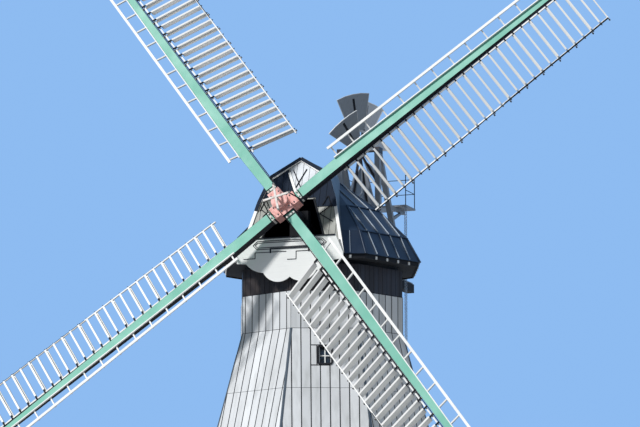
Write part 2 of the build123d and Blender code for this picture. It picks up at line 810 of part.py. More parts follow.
def stock_side(distance, column):
    """Half width of a stock here: column 1 is its leading side and column 2 its trailing side."""
    for near, far in zip(STOCK_SECTIONS, STOCK_SECTIONS[1:]):
        if distance <= far[0]:
            break
    return near[column] + (distance - near[0]) / (far[0] - near[0]) * (far[column] - near[column])


def rail_line(distance):
    """Line of the rail that the shutters hang from, beside the stock's trailing side."""
    return -stock_side(distance, 2) - RAIL_STAND_OFF


def stock_lath_line(distance):
    """Line of the lath beside the stock's leading side."""
    return stock_side(distance, 1) + LATH_WIDTH / 2 + SEAT_GAP


def on_bars(depth):
    """How far in front of the bars' middle a lath of this depth lies when it is nailed on them."""
    return (BAR_DEPTH + depth) / 2 + SEAT_GAP


def long_bar_line(distance):
    """Line of the bar that works the shutters, between the stock and the rail."""
    return -stock_side(distance, 2) - LONG_BAR_STAND_OFF


def shutter_end(distance):
    """Where the shutters begin, beyond the rail."""
    return rail_line(distance) - RAIL_WIDTH / 2 - SHUTTER_INSET


def stock_section(arm, distance, lead, trail, depth):
    """Corners of a stock's section at this distance from the shaft."""
    spots = ((lead, depth), (-trail, depth), (-trail, -depth), (lead, -depth))
    return [arm.from_local_coords(Vector(distance, lateral, rise / 2)) for lateral, rise in spots]


def stock(number):
    """A stock for two arms, tapered in width and depth and pierced for the bars."""
    arms = (sail_plane(number), sail_plane(number + 2))
    bars = [sail_bar(arm, distance) for arm in arms for distance in BAR_DISTANCES]
    with BuildPart() as timber:
        for arm in arms:
            sections = [stock_section(arm, *section) for section in STOCK_SECTIONS]
            add([flat_sided(*pair) for pair in zip(sections, sections[1:])])
        add(bars, mode=Mode.SUBTRACT)
    return timber


save(stock(0), "rear_stock")
save(stock(1), "front_stock")


# Sail frames: bars, hem, rail, ladder batten and the lath beside the stock
def sail_frame(number):
    arm = sail_plane(number)
    pieces = [sail_bar(arm, distance) for distance in BAR_DISTANCES]
    pieces.append(lath(arm, lambda distance: -HEM_OFFSET, HEM_WIDTH, HEM_DEPTH, on_bars(HEM_DEPTH)))
    pieces.append(lath(arm, rail_line, RAIL_WIDTH, RAIL_DEPTH, on_bars(RAIL_DEPTH) + LATH_BOW))
    pieces.append(lath(arm, lambda distance: LEAD_OFFSET, LEAD_WIDTH, LEAD_DEPTH, on_bars(LEAD_DEPTH)))
    pieces.append(lath(arm, stock_lath_line, LATH_WIDTH, LATH_DEPTH, on_bars(LATH_DEPTH) + LATH_BOW))
    with BuildPart() as frame:
        add(pieces)
    return frame


SHUTTER_DISTANCES = [FIRST_BAR + BAY * bay + offset for bay in range(BAYS) for offset in SHUTTER_OFFSETS]


# Shutters, each hung between its lever and the hem
def sail_shutters(number):
    arm = sail_plane(number)
    hem_side = -HEM_OFFSET + HEM_WIDTH / 2 + SEAT_GAP
    with BuildPart() as shutters:
        for distance in SHUTTER_DISTANCES:
            run = along_bar(arm, distance)
            with BuildSketch(across_bar(arm, distance, shutter_end(distance))):
                Rectangle(SHUTTER_CHORD, SHUTTER_THICK, rotation=SHUTTER_OPEN)
            extrude(amount=(shutter_end(distance) - hem_side) * run.length, dir=run.normalized())
    return shutters


for arm_number in range(4):
    save(sail_frame(arm_number), f"sail_frame_{arm_number + 1}")
    save(sail_shutters(arm_number), f"sail_shutters_{arm_number + 1}")

# Cast poll end: two crossing sockets on the end of the shaft, with a nose in front
SOCKET = STOCK_HALF_WIDTH + POLL_GAP
NOSE_FOOT = STOCK_PLANES[1] + STOCK_DEPTH / 2 + POLL_WALL
NOSE_FRONT = NOSE_FOOT + POLL_NOSE_LENGTH
with BuildPart() as poll_end:
    for number in range(2):
        arm = sail_plane(number)
        with BuildSketch(Plane(origin=arm.origin, x_dir=arm.y_dir, z_dir=arm.x_dir)):
            Rectangle(2 * (SOCKET + POLL_WALL), STOCK_DEPTH + 2 * POLL_GAP + 2 * POLL_WALL)
        extrude(amount=POLL_LENGTH / 2, both=True)
    with BuildSketch(WHEEL.offset(SHAFT_FRONT)):
        Circle(SHAFT_RADIUS + POLL_WALL)
    extrude(amount=-SHAFT_FRONT)
    with BuildSketch(WHEEL.offset(NOSE_FOOT)):
        Circle(POLL_NOSE_RADIUS)
    extrude(amount=POLL_NOSE_LENGTH)
    for number in range(2):
        arm = sail_plane(number)
        with BuildSketch(Plane(origin=arm.origin, x_dir=arm.y_dir, z_dir=arm.x_dir)):
            Rectangle(2 * SOCKET, STOCK_DEPTH + 2 * POLL_GAP)
        extrude(amount=POLL_LENGTH, both=True, mode=Mode.SUBTRACT)
save(poll_end, "poll_end")

# The levers pass in front of the rail, and the long bars lie just behind them
RAIL_SLOPE_RISE = weather(FRAME_INNER) * RAIL_WIDTH / 2
LEVER_FORWARD = on_bars(RAIL_DEPTH) + LATH_BOW + (RAIL_DEPTH + LEVER_DEPTH) / 2 + RAIL_SLOPE_RISE + SEAT_GAP
LONG_BAR_FORWARD = LEVER_FORWARD - (LONG_BAR_DEPTH + LEVER_DEPTH) / 2 - SEAT_GAP

# Striking rod out of the nose, with a cross whose arms line up with the long bars
CROSS_BACK = NOSE_FRONT + CROSS_STAND_OFF
CROSS_SIDE = long_bar_line(CRANK_DISTANCE)
CROSS_TURN = math.degrees(math.atan2(CROSS_SIDE, CROSS_REACH))
with BuildPart() as striking_cross:
    with BuildSketch(WHEEL.offset(NOSE_FRONT)):
        Circle(STRIKING_ROD_RADIUS)
    extrude(amount=CROSS_STAND_OFF)
    for number in range(4):
        with BuildSketch(turned(arm_plane(number, CROSS_BACK), CROSS_TURN)):
            Rectangle(math.hypot(CROSS_REACH, CROSS_SIDE), CROSS_ARM, align=(Align.MIN, Align.CENTER))
        extrude(amount=CROSS_THICK)
save(striking_cross, "striking_cross")


def strip(plane, start, end, width, thick):
    """A flat bar between two points of a plane, with its middle on the plane."""
    run = Vector(*end) - Vector(*start)
    middle = (Vector(*start) + Vector(*end)) / 2
    with BuildPart() as bar:
        with BuildSketch(plane):
            with Locations(middle):
                Rectangle(run.length, width, rotation=math.degrees(math.atan2(run.Y, run.X)))
        extrude(amount=thick / 2, both=True)
    return bar.part


def bell_crank(number):
    """A crank on a pin in the stock's side, with the link that joins it to the cross."""
    arm = sail_plane(number)
    side = arm.from_local_coords(Vector(0, CROSS_SIDE, 0))
    plane = Plane(origin=side, x_dir=arm.x_dir, z_dir=-arm.y_dir)
    pivot = (CRANK_DISTANCE, CRANK_RISE)
    link_end = (CRANK_DISTANCE - CRANK_INNER_ARM, CRANK_RISE)
    bar_end = (CRANK_DISTANCE, CROSS_SIDE * weather(CRANK_DISTANCE) + LONG_BAR_FORWARD)
    cross_end = (CROSS_REACH - CROSS_ARM / 2, CROSS_BACK - STOCK_PLANES[number % 2] + LINK_WIDTH)
    with BuildPart() as crank:
        add([strip(plane, pivot, spot, CRANK_END, CRANK_THICK) for spot in (link_end, bar_end)])
        add(strip(plane, link_end, cross_end, LINK_WIDTH, CRANK_THICK))
        with BuildSketch(plane):
            with Locations(pivot):
                RegularPolygon(radius=CRANK_PIN_RADIUS, side_count=SIDES)
        extrude(amount=CROSS_SIDE + stock_side(CRANK_DISTANCE, 2) + 2 * SEAT_GAP)
        add(space_beyond(WHEEL.offset(CROSS_BACK - SEAT_GAP)), mode=Mode.SUBTRACT)
    return crank.part


LONG_BAR_START = CRANK_DISTANCE + CRANK_END / 2 + SEAT_GAP


def shutter_lever(arm, distance):
    """The lever that reaches over the rail from the long bar to a shutter's inner end."""
    run = along_bar(arm, distance)
    start = long_bar_line(distance)
    with BuildPart() as lever:
        with BuildSketch(across_bar(arm, distance, start)):
            with Locations((0, LEVER_FORWARD)):
                Rectangle(LEVER_WIDTH, LEVER_DEPTH)
        extrude(amount=(start - shutter_end(distance) - SEAT_GAP) * run.length, dir=run.normalized())
    return lever.part


def long_bar(number):
    """The bar along a stock, with a lever for each shutter."""
    arm = sail_plane(number)
    ends = (LONG_BAR_START, LONG_BAR_END)
    with BuildPart() as bar:
        add(lath(arm, long_bar_line, LONG_BAR_WIDTH, LONG_BAR_DEPTH, LONG_BAR_FORWARD, ends))
        add([shutter_lever(arm, distance) for distance in SHUTTER_DISTANCES])
    return bar.part


# Cranks, links, long bars and levers of all four arms
with BuildPart() as striking_gear:
    add([piece(number) for number in range(4) for piece in (bell_crank, long_bar)])
save(striking_gear, "striking_gear")

# Fan stage on the tail of the beams
with BuildPart() as fan_stage:
    with BuildSketch(Plane.XY.offset(SHEER_TOP)):
        with Locations((0, STAGE_FRONT_Y)):
            Rectangle(2 * STAGE_HALF, TAIL_END_Y - STAGE_FRONT_Y, align=(Align.CENTER, Align.MIN))
    extrude(amount=STAGE_THICK)
save(fan_stage, "fan_stage")

STAGE_TOP = SHEER_TOP + STAGE_THICK
BEARING_FOOT = FAN_HEIGHT - FAN_BEARING / 2
FAN_SIDES = (-FAN_POST_X, FAN_POST_X)


# A leaning pair of posts on each side, from the stage up to the fan's bearings
with BuildPart() as fan_posts:
    for side in FAN_SIDES:
        for foot_y, head_y in ((FAN_REAR_FOOT_Y, FAN_Y + FAN_POST / 2), (FAN_FRONT_FOOT_Y, FAN_Y - FAN_POST / 2)):
            foot = Vector(side, foot_y, STAGE_TOP)
            run = Vector(side, head_y, BEARING_FOOT) - foot
            with BuildSketch(Plane(origin=foot, x_dir=(1, 0, 0), z_dir=(0, 0, 1))):
                Rectangle(FAN_POST, FAN_POST)
            extrude(amount=run.length, dir=run.normalized())
save(fan_posts, "fan_posts")

FAN_PLANE = Plane(origin=(0, FAN_Y, FAN_HEIGHT), x_dir=(0, 1, 0), z_dir=(1, 0, 0))
with BuildPart() as fan_bearings:
    with BuildSketch(Plane.XY.offset(BEARING_FOOT)):
        with Locations((-FAN_POST_X, FAN_Y), (FAN_POST_X, FAN_Y)):
            Rectangle(FAN_POST, 2 * FAN_POST)
    extrude(amount=FAN_BEARING)
    with BuildSketch(FAN_PLANE):
        Circle(FAN_SHAFT_RADIUS + FAN_BEARING_GAP)
    extrude(amount=2 * FAN_POST_X, both=True, mode=Mode.SUBTRACT)
save(fan_bearings, "fan_bearings")

# Plane of the rear posts' middle, facing the tail
REAR_POST_BACK = Plane(
    origin=(0, FAN_REAR_FOOT_Y, STAGE_TOP),
    x_dir=(1, 0, 0),
    z_dir=(0, BEARING_FOOT - STAGE_TOP, FAN_REAR_FOOT_Y - FAN_Y - FAN_POST / 2),
)

# Upper platform behind the fan
with BuildPart() as upper_platform:
    with BuildSketch(Plane.XY.offset(PLATFORM_HEIGHT)):
        with Locations((0, PLATFORM_FRONT_Y)):
            Rectangle(2 * PLATFORM_HALF, PLATFORM_DEPTH, align=(Align.CENTER, Align.MIN))
    extrude(amount=STAGE_THICK)
save(upper_platform, "upper_platform")

# Bearers and knee braces that carry the platform from the rear posts
PLATFORM_BACK_Y = PLATFORM_FRONT_Y + PLATFORM_DEPTH
BRACKET_REACH = PLATFORM_BACK_Y - BRACKET_INSET
BEARER_FOOT = PLATFORM_HEIGHT - BEARER_DEPTH
with BuildPart() as platform_brackets:
    with BuildSketch(Plane.YZ.offset(-FAN_POST_X)):
        with BuildLine():
            Polyline(
                (FAN_Y, BEARER_FOOT - BRACKET_DROP),
                (BRACKET_REACH, BEARER_FOOT),
                (PLATFORM_BACK_Y, BEARER_FOOT),
                (PLATFORM_BACK_Y, PLATFORM_HEIGHT),
                (FAN_Y, PLATFORM_HEIGHT),
                (FAN_Y, BEARER_FOOT),
                (BRACKET_REACH - 2 * BEARER_WIDTH, BEARER_FOOT),
                (FAN_Y, BEARER_FOOT - BRACKET_DROP + 2 * BEARER_WIDTH),
                close=True,
            )
        make_face()
    extrude(amount=BEARER_WIDTH / 2, both=True)
    mirror(about=Plane.YZ)
    add(fan_posts.part, mode=Mode.SUBTRACT)
    add(space_beyond(flipped(REAR_POST_BACK)), mode=Mode.SUBTRACT)
save(platform_brackets, "platform_brackets")

# Ties between the front and the rear posts on each side
with BuildPart() as fan_ties:
    with BuildSketch(Plane.XY.offset(TIE_HEIGHT)):
        with Locations((-FAN_POST_X, FAN_Y), (FAN_POST_X, FAN_Y)):
            Rectangle(BEARER_WIDTH, FAN_REAR_FOOT_Y - FAN_Y, align=(Align.CENTER, Align.MIN))
    extrude(amount=TIE_DEPTH)
    add(fan_posts.part, mode=Mode.SUBTRACT)
    add(space_beyond(REAR_POST_BACK), mode=Mode.SUBTRACT)
save(fan_ties, "fan_ties")

# Guard rail on three sides of the platform
RAIL_X = PLATFORM_HALF - RAIL_POST / 2
RAIL_FRONT_Y = PLATFORM_FRONT_Y + RAIL_POST / 2
RAIL_BACK_Y = PLATFORM_BACK_Y - RAIL_POST / 2
with BuildPart() as platform_rail:
    with BuildSketch(Plane.XY.offset(PLATFORM_HEIGHT + STAGE_THICK)):
        with Locations([(side * RAIL_X, y) for side in (-1, 1) for y in (RAIL_FRONT_Y, RAIL_BACK_Y)]):
            Rectangle(RAIL_POST, RAIL_POST)
    extrude(amount=RAIL_HEIGHT)
    for level in range(1, RAIL_BARS + 1):
        with BuildSketch(Plane.XY.offset(PLATFORM_HEIGHT + STAGE_THICK + RAIL_HEIGHT * level / RAIL_BARS)):
            with Locations((0, RAIL_BACK_Y)):
                Rectangle(2 * RAIL_X, RAIL_BAR)
            with Locations((-RAIL_X, RAIL_FRONT_Y), (RAIL_X, RAIL_FRONT_Y)):
                Rectangle(RAIL_BAR, RAIL_BACK_Y - RAIL_FRONT_Y, align=(Align.CENTER, Align.MIN))
        extrude(amount=-RAIL_BAR)
save(platform_rail, "platform_rail")

# Fan: hub with spokes on a spindle, and pitched blades
with BuildPart() as fan_hub:
    with BuildSketch(FAN_PLANE):
        Circle(FAN_HUB_RADIUS)
    extrude(amount=FAN_HUB_LENGTH / 2, both=True)
    with BuildSketch(FAN_PLANE):
        Circle(FAN_SHAFT_RADIUS)
    extrude(amount=FAN_POST_X + FAN_POST / 2, both=True)
    for number in range(FAN_BLADES):
        arm = turned(FAN_PLANE, FAN_PHASE + 360 / FAN_BLADES * number)
        with BuildSketch(Plane(origin=arm.origin, x_dir=arm.y_dir, z_dir=arm.x_dir)):
            Rectangle(FAN_SPOKE, FAN_SPOKE, rotation=FAN_PITCH)
        extrude(amount=FAN_RADIUS - FAN_SPOKE)
save(fan_hub, "fan_hub")

BLADE_SHOULDER = FAN_RADIUS - FAN_TIP_ROUND
with BuildPart() as fan_blades:
    for number in range(FAN_BLADES):
        arm = turned(FAN_PLANE, FAN_PHASE + 360 / FAN_BLADES * number)
        with BuildSketch(tipped(arm, FAN_PITCH).offset(FAN_SPOKE / 2)):
            with BuildLine():
                tip = ThreePointArc(
                    (BLADE_SHOULDER, -FAN_BLADE_TIP / 2), (FAN_RADIUS, 0), (BLADE_SHOULDER, FAN_BLADE_TIP / 2)
                )
                root = Line((FAN_BLADE_INNER, FAN_BLADE_ROOT / 2), (FAN_BLADE_INNER, -FAN_BLADE_ROOT / 2))
                Line(tip @ 1, root @ 0)
                Line(root @ 1, tip @ 0)
            make_face()
        extrude(amount=FAN_BLADE_THICK)
save(fan_blades, "fan_blades")

# Two control chains that hang from the upper platform to within reach of the ground
CHAIN_X = PLATFORM_HALF - CHAIN_INSET
CHAIN_Y = PLATFORM_FRONT_Y + CHAIN_INSET
with BuildPart() as control_chains:
    with BuildSketch(Plane.XY.offset(PLATFORM_HEIGHT)):
        with Locations((CHAIN_X, CHAIN_Y), (CHAIN_X, CHAIN_Y + CHAIN_SPACING)):
            Circle(CHAIN_RADIUS)
    extrude(amount=-CHAIN_LENGTH)
save(control_chains, "control_chains")
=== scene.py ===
"""Smock windmill: boards, brickwork, sheet roof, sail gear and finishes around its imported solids.

The tower stands on its axis at the origin, in metres, with the sails facing -Y and +Z up.
"""

import json
import math
import random

import bmesh
import bpy
from bpy.props import FloatProperty, FloatVectorProperty, PointerProperty
from mathutils import Matrix, Vector


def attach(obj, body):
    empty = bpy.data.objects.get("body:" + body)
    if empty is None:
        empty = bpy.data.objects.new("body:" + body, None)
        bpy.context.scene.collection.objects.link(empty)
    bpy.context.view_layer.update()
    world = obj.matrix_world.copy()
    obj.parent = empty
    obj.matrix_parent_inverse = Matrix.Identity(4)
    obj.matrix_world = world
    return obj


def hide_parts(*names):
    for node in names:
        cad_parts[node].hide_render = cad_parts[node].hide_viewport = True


bl_info = {
    "name": "Smock windmill",
    "version": (1, 0, 0),
    "blender": (4, 5, 0),
    "location": "View3D > Sidebar > Windmill",
    "description": "Builds a shuttered smock windmill piece by piece",
    "category": "Add Mesh",
}

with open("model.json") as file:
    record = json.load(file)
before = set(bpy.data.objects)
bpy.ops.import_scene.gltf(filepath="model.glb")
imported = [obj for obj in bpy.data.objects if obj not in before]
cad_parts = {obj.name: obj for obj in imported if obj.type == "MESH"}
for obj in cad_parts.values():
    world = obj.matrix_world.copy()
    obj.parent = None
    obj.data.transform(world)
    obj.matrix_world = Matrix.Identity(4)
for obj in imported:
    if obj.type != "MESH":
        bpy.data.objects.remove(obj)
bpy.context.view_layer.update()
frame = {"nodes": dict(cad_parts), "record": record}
NODES = frame["nodes"]

# Tower, as in the solids
SIDES = 8
FACET_COS = math.cos(math.pi / SIDES)
FACET_TAN = math.tan(math.pi / SIDES)
BASE_RADIUS = 4.60
BASE_TOP = 2.40
SMOCK_FOOT = 2.58
SMOCK_FOOT_RADIUS = 4.56
COLLAR_FOOT = 9.35
COLLAR_RADIUS = 2.66
TOWER_TOP = 10.50
BAND_RADIUS = 2.64
BAND_TOP = 11.33
WINDOW_ROWS = (8.49, 5.50)
WINDOW_FACETS = (0, 2, 4, 6)
WINDOW_SIZE = (0.48, 0.64)
BASE_WINDOW_FACETS = (1, 5)
BASE_WINDOW_HEIGHT = 1.50
DOOR_FACET = 7
DOOR_SIZE = (1.00, 2.00)
THRESHOLD = 0.10
DOOR_FACE = -0.125

# Trim of the tower and its door; each play is the room round a window
FACET_MARGIN = 0.018
WINDOW_PLAY = 0.006
BRICK_PLAY = 0.02
BOARD_SHIFT = 0.06
COLLAR_LAP = 0.014
LAP_REACHES = (1.25, 3.15, 5.05)
LAP_SIZE = (0.010, 0.004)
DOOR_INSET = (0.085, 0.09)
DOOR_BOARD = 0.14
HINGE_SIZE = (0.62, 0.045, 0.02)
HINGE_RISES = (0.30, 1.60)
KNOB_PLACE = (0.33, 0.98)

# First seeds of the tones of boards and bricks; the smock's own start at 0
COLLAR_SEED, BAND_SEED, BRICK_SEED, GABLE_SEED, DECK_SEED, DOOR_SEED = 20, 40, 60, 80, 90, 95

# Cap, as in the solids: corner radius and height of each break in the roof
ROOF_RINGS = ((3.25, 11.56), (2.81, 12.335), (1.89, 13.246), (0.06, 14.60))
GABLE_FOOT = (-2.67, 11.64)
GABLE_LEAN = math.radians(16.5)
EAVES_RADIUS = 3.19
EAVES_FOOT = 11.43
OPENING = ((1.05, 12.02), (0.56, 13.36))
GABLE_SIDES = ((0.0, 14.74), (0.974, 14.154), (1.268, 13.338), (1.699, 11.64))
BARGE_WIDTH = 0.09
CAP_LINE = ((0.0, 14.69), (0.93, 14.13), (1.225, 13.33), (1.296, 13.05))
BOARD_FRONT = -2.80

# Trim of the cap; the limits keep hips and eaves blocks off the gable and the fan stage
GABLE_FACETS = (5, 6)
GABLE_SPAN = 1.75
HIP_LIMITS = (1.9, -0.5)
EAVES_LIMITS = (2.6, 1.05)
SEAM_WIDTH = 0.014
SEAM_END = 0.03
SEAM_MARGIN = 0.08
HIP_BAR = (0.09, 0.035, 0.008)
RING_BAR = (0.07, 0.03, 0.006)
EAVES_BLOCK = (0.07, 0.09, 0.03)
EAVES_PITCH = 0.5
DECK_BOARD = 0.18
FINIAL = (0.10, 14.62)
GABLE_BOARD = 0.21
GABLE_EDGE = 0.03
RIGHT_SHOULDER = 13.08
GABLE_RODS = (((0.80, 12.85), (1.14, 13.10)), ((0.80, 12.85), (1.25, 12.58)),
              ((1.02, 13.42), (1.17, 13.05)), ((1.02, 13.42), (0.86, 13.12)),
              ((0.26, 13.40), (-0.22, 14.34)))
BATTEN_ENDS = ((0.0, 13.45), (-0.34, 14.26))
BOARD_FRAMES = ((1.12, 0.075), (1.19, 0.125))
BOARD_MIDDLE = 11.90
BOARD_STEPS = (((-1.50, 11.50), (-1.12, 11.50), (-1.12, 11.68), (-0.11, 11.68)),
               ((-0.08, 11.43), (0.21, 11.43), (0.21, 11.67), (0.63, 11.67)))

# Sail wheel, as in the solids
HUB = Vector((0.0, -3.2, 13.0))
SHAFT_TILT = math.radians(11.45)
SAIL_PHASE = 37.9
STOCK_PLANES = (-0.10, 0.22)
FIRST_BAR = 2.2
BAY = 0.64
BAYS = 14
HEM_OFFSET = 1.57
HEM_BACK = (0.83, 0.40)
FRAME_ENDS = (2.08, 11.18)
SHUTTER_OFFSETS = (0.045, 0.365)
STOCK_SECTIONS = ((0.45, 0.145, 0.145, 0.29), (2.0, 0.20, 0.125, 0.29), (11.2, 0.11, 0.05, 0.13))
HEM_IRON = ((-1.5785, 0.0865, 0.019, 0.004), (-1.5895, 0.058, 0.003, 0.055))
SOCKET_HALF = 0.203
SHUTTER_START = 0.1725
SHUTTER_CHORD = 0.29
SHUTTER_OPEN = math.radians(95)
SHUTTER_HEM = 1.545
LEVER_FORWARD = 0.1035
CROSS_FRONT = 0.835

# Trim of the sails: straps and sleeve have a distance out along the arm and a width
PAINT_PROUD = 0.002
STRAP_PROUD = 0.008
DARK_STRAP = (0.60, 0.035)
PALE_STRAP = (0.54, 0.06)
SLEEVE = (0.41, 0.12)
SOCKET_BOLTS = [(distance, side * 0.14, 0.2055) for distance in (0.20, 0.31) for side in (-1, 1)]
STRAP_BOLTS = [(PALE_STRAP[0], side * 0.08, 0.152) for side in (-1, 1)]
CROSS_BOLT = (0.40, -0.165, CROSS_FRONT)
LATH_SIZE = (0.06, 0.014)

# Fan, as in the solids
FAN_CENTRE = Vector((0.0, 3.59, 15.85))
FAN_PHASE = 22.5
FAN_BLADES = 8
FAN_PITCH = math.radians(45)
BLADE_REACH = (0.70, 1.82)
BLADE_WIDTHS = (0.52, 1.15)
BLADE_FACE = 0.035
BLADE_THICK = 0.018
STAGE = (0.9, 3.38, 6.2, 11.8915)
PLATFORM = (1.05, 5.13, 6.08, 14.31)
RAIL_CORNERS = ((-1.025, 5.155), (-1.025, 6.055), (1.025, 6.055), (1.025, 5.155))
RAIL_LEVELS = (0.49, 0.98)
CHAIN_PLACES = ((0.98, 5.20), (0.98, 5.35))
CHAIN_TOP = 14.26
CHAIN_LENGTH = 8.8

# Light: where it comes from, and its spread in degrees
MAIN_TOWARDS = (-0.68, -1.0, 0.98)
MAIN_SPREAD = 7
FILL_TOWARDS = (0.8, -0.5, 0.35)
FILL_SPREAD = 40
FILL_STRENGTH = 0.2
WORLD_COLOUR = (0.80, 0.90, 1.0, 1)
SEEN_COLOUR = (0.27, 0.50, 0.88, 1)
FLOOR_RADIUS = 46

# Where the photograph was taken from
PHOTO_LENS = 198.06
PHOTO_AZIMUTH = math.radians(20.155)
PHOTO_RISE = math.radians(9.5)
PHOTO_DISTANCE = 106.72
PHOTO_SHIFT = (1.060, -0.225)


# Helpers on meshes

def deselect():
    if bpy.context.object and bpy.context.object.mode != "OBJECT":
        bpy.ops.object.mode_set(mode="OBJECT")
    bpy.ops.object.select_all(action="DESELECT")


def placed(piece, matrix):
    """Move the mesh itself, and leave the object at the origin."""
    piece.data.transform(matrix @ piece.matrix_world)
    piece.matrix_world = Matrix.Identity(4)
    return piece


def named(piece, name):
    piece.name = piece.data.name = name
    return piece


def joined(name, pieces):
    """Join these objects into one with this name."""
    deselect()
    for piece in pieces:
        piece.select_set(True)
    bpy.context.view_layer.objects.active = pieces[0]
    if len(pieces) > 1:
        bpy.ops.object.join()
    return named(bpy.context.view_layer.objects.active, name)


def copies(piece, matrices):
    """The same mesh at each of these places, as one mesh."""
    pattern = bmesh.new()
    pattern.from_mesh(piece.data)
    total = bmesh.new()
    scratch = bpy.data.meshes.new("scratch")
    for matrix in matrices:
        turned = pattern.copy()
        turned.transform(matrix)
        turned.to_mesh(scratch)
        total.from_mesh(scratch)
        turned.free()
    total.to_mesh(piece.data)
    total.free()
    pattern.free()
    bpy.data.meshes.remove(scratch)
    piece.data.update()
    return piece


def block(size, middle=(0, 0, 0), bevel=0.0):
    """A cuboid with eased edges."""
    deselect()
    bpy.ops.mesh.primitive_cube_add(size=1, location=(0, 0, 0))
    piece = bpy.context.object
    bpy.ops.object.mode_set(mode="EDIT")
    bpy.ops.transform.resize(value=size)
    bpy.ops.transform.translate(value=middle)
    if bevel:
        bpy.ops.mesh.bevel(offset=bevel, segments=1)
    bpy.ops.object.mode_set(mode="OBJECT")
    return piece


def bar_matrix(start, end):
    """A frame at the middle of a bar: X along it and Z as near as can be to upright."""
    start, end = Vector(start), Vector(end)
    along = (end - start).normalized()
    across = Vector((0, 0, 1)).cross(along).normalized()
    rise = along.cross(across)
    turn = Matrix((along, across, rise)).transposed().to_4x4()
    return Matrix.Translation((start + end) / 2) @ turn


def bar(start, end, width, height, bevel=0.0):
    """A square-edged bar from one point to another."""
    length = (Vector(end) - Vector(start)).length
    return placed(block((length, width, height), bevel=bevel), bar_matrix(start, end))


def rod(start, end, radius, sides=8):
    """A round bar from one point to another."""
    deselect()
    length = (Vector(end) - Vector(start)).length
    bpy.ops.mesh.primitive_cylinder_add(vertices=sides, radius=radius, depth=length)
    piece = bpy.context.object
    turn = (Vector(end) - Vector(start)).to_track_quat("Z", "Y").to_matrix().to_4x4()
    placed(piece, Matrix.Translation((Vector(start) + Vector(end)) / 2) @ turn)
    bpy.ops.object.shade_smooth_by_angle(angle=math.radians(40))
    return piece


def tapered_bar(start, end, near, far):
    """A bar whose width and height change from one end to the other."""
    piece = block(((Vector(end) - Vector(start)).length, 1, 1))
    for vertex in piece.data.vertices:
        width, height = far if vertex.co.x > 0 else near
        vertex.co.y *= width
        vertex.co.z *= height
    return placed(piece, bar_matrix(start, end))


def turn_frame(origin, along, normal):
    """A frame at this origin with X along, Z on the normal and Y square to both."""
    along, normal = Vector(along), Vector(normal)
    turn = Matrix((along, normal.cross(along), normal)).transposed().to_4x4()
    return Matrix.Translation(origin) @ turn


WHEEL = turn_frame(HUB, (1, 0, 0), (0, -math.cos(SHAFT_TILT), math.sin(SHAFT_TILT)))


def arm_frame(number, forward=None):
    """Frame of an arm: X out along it, Y towards its leading side and Z forward."""
    forward = STOCK_PLANES[number % 2] if forward is None else forward
    turn = Matrix.Rotation(math.radians(SAIL_PHASE + 90 * number), 4, "Z")
    return WHEEL @ turn @ Matrix.Translation((0, 0, forward))


def weather(distance):
    """How far the sail bars fall back here, for each unit across the sail."""
    share = (distance - FRAME_ENDS[0]) / (FRAME_ENDS[1] - FRAME_ENDS[0])
    return (HEM_BACK[0] + share * (HEM_BACK[1] - HEM_BACK[0])) / HEM_OFFSET


def stock_size(distance, column):
    """A stock's size here: column 1 is its leading side, 2 its trailing side and 3 its depth."""
    for near, far in zip(STOCK_SECTIONS, STOCK_SECTIONS[1:]):
        if distance <= far[0]:
            break
    return near[column] + (distance - near[0]) / (far[0] - near[0]) * (far[column] - near[column])


def on_bar(distance, lateral, forward=0.0):
    """A point on the line of a sail bar, as a vector of the arm's frame."""
    return Vector((distance, lateral, lateral * weather(distance) + forward))


SHUTTER_SPOTS = [FIRST_BAR + BAY * bay + offset for bay in range(BAYS) for offset in SHUTTER_OFFSETS]


def facet_frame(number, height, radius, lean=0.0):
    """A frame on a facet of an octagon: X along it, Y up it and Z out of it."""
    angle = math.radians(360 / SIDES * (number + 0.5))
    out = Vector((math.cos(angle), math.sin(angle), 0))
    along = Vector((-math.sin(angle), math.cos(angle), 0))
    normal = out * math.cos(lean) + Vector((0, 0, math.sin(lean)))
    return turn_frame(out * radius * FACET_COS + Vector((0, 0, height)), along, normal)


def flat_sheet(outline):
    """A flat face with this outline, in its own X and Y."""
    deselect()
    bpy.ops.mesh.primitive_circle_add(vertices=len(outline), radius=1, fill_type="NGON")
    piece = bpy.context.object
    for vertex, point in zip(piece.data.vertices, outline):
        vertex.co = (point[0], point[1], 0)
    normal = piece.data.polygons[0].normal
    if normal.z < 0:
        piece.data.flip_normals()
    return piece


def choose(piece, test):
    """In edit mode, select the faces whose middle passes the test."""
    mesh = bmesh.from_edit_mesh(piece.data)
    for face in mesh.faces:
        face.select_set(bool(test(face.calc_center_median())))
    mesh.select_flush_mode()
    bmesh.update_edit_mesh(piece.data)
    return any(face.select for face in mesh.faces)


def cut(piece, axis, value, test=lambda middle: True):
    """Cut the chosen faces along a line across the sheet."""
    if choose(piece, test):
        where = (value, 0, 0) if axis == 0 else (0, value, 0)
        facing = (1, 0, 0) if axis == 0 else (0, 1, 0)
        bpy.ops.mesh.bisect(plane_co=where, plane_no=facing)


def inside(box):
    return lambda middle: box[0] < middle.x < box[2] and box[1] < middle.y < box[3]


def cut_hole(piece, box, wide=0.15):
    """Cut a rectangular hole without marking the boards beyond this width on either side.

    Known fault: the holes for the tower's upper windows stay covered by boards, whole or in part.
    """
    near = lambda middle: box[0] - wide < middle.x < box[2] + wide
    cut(piece, 1, box[1], near)
    cut(piece, 1, box[3], near)
    row = lambda middle: box[1] < middle.y < box[3]
    cut(piece, 0, box[0], row)
    cut(piece, 0, box[2], row)
    if choose(piece, inside(box)):
        bpy.ops.mesh.delete(type="FACE")


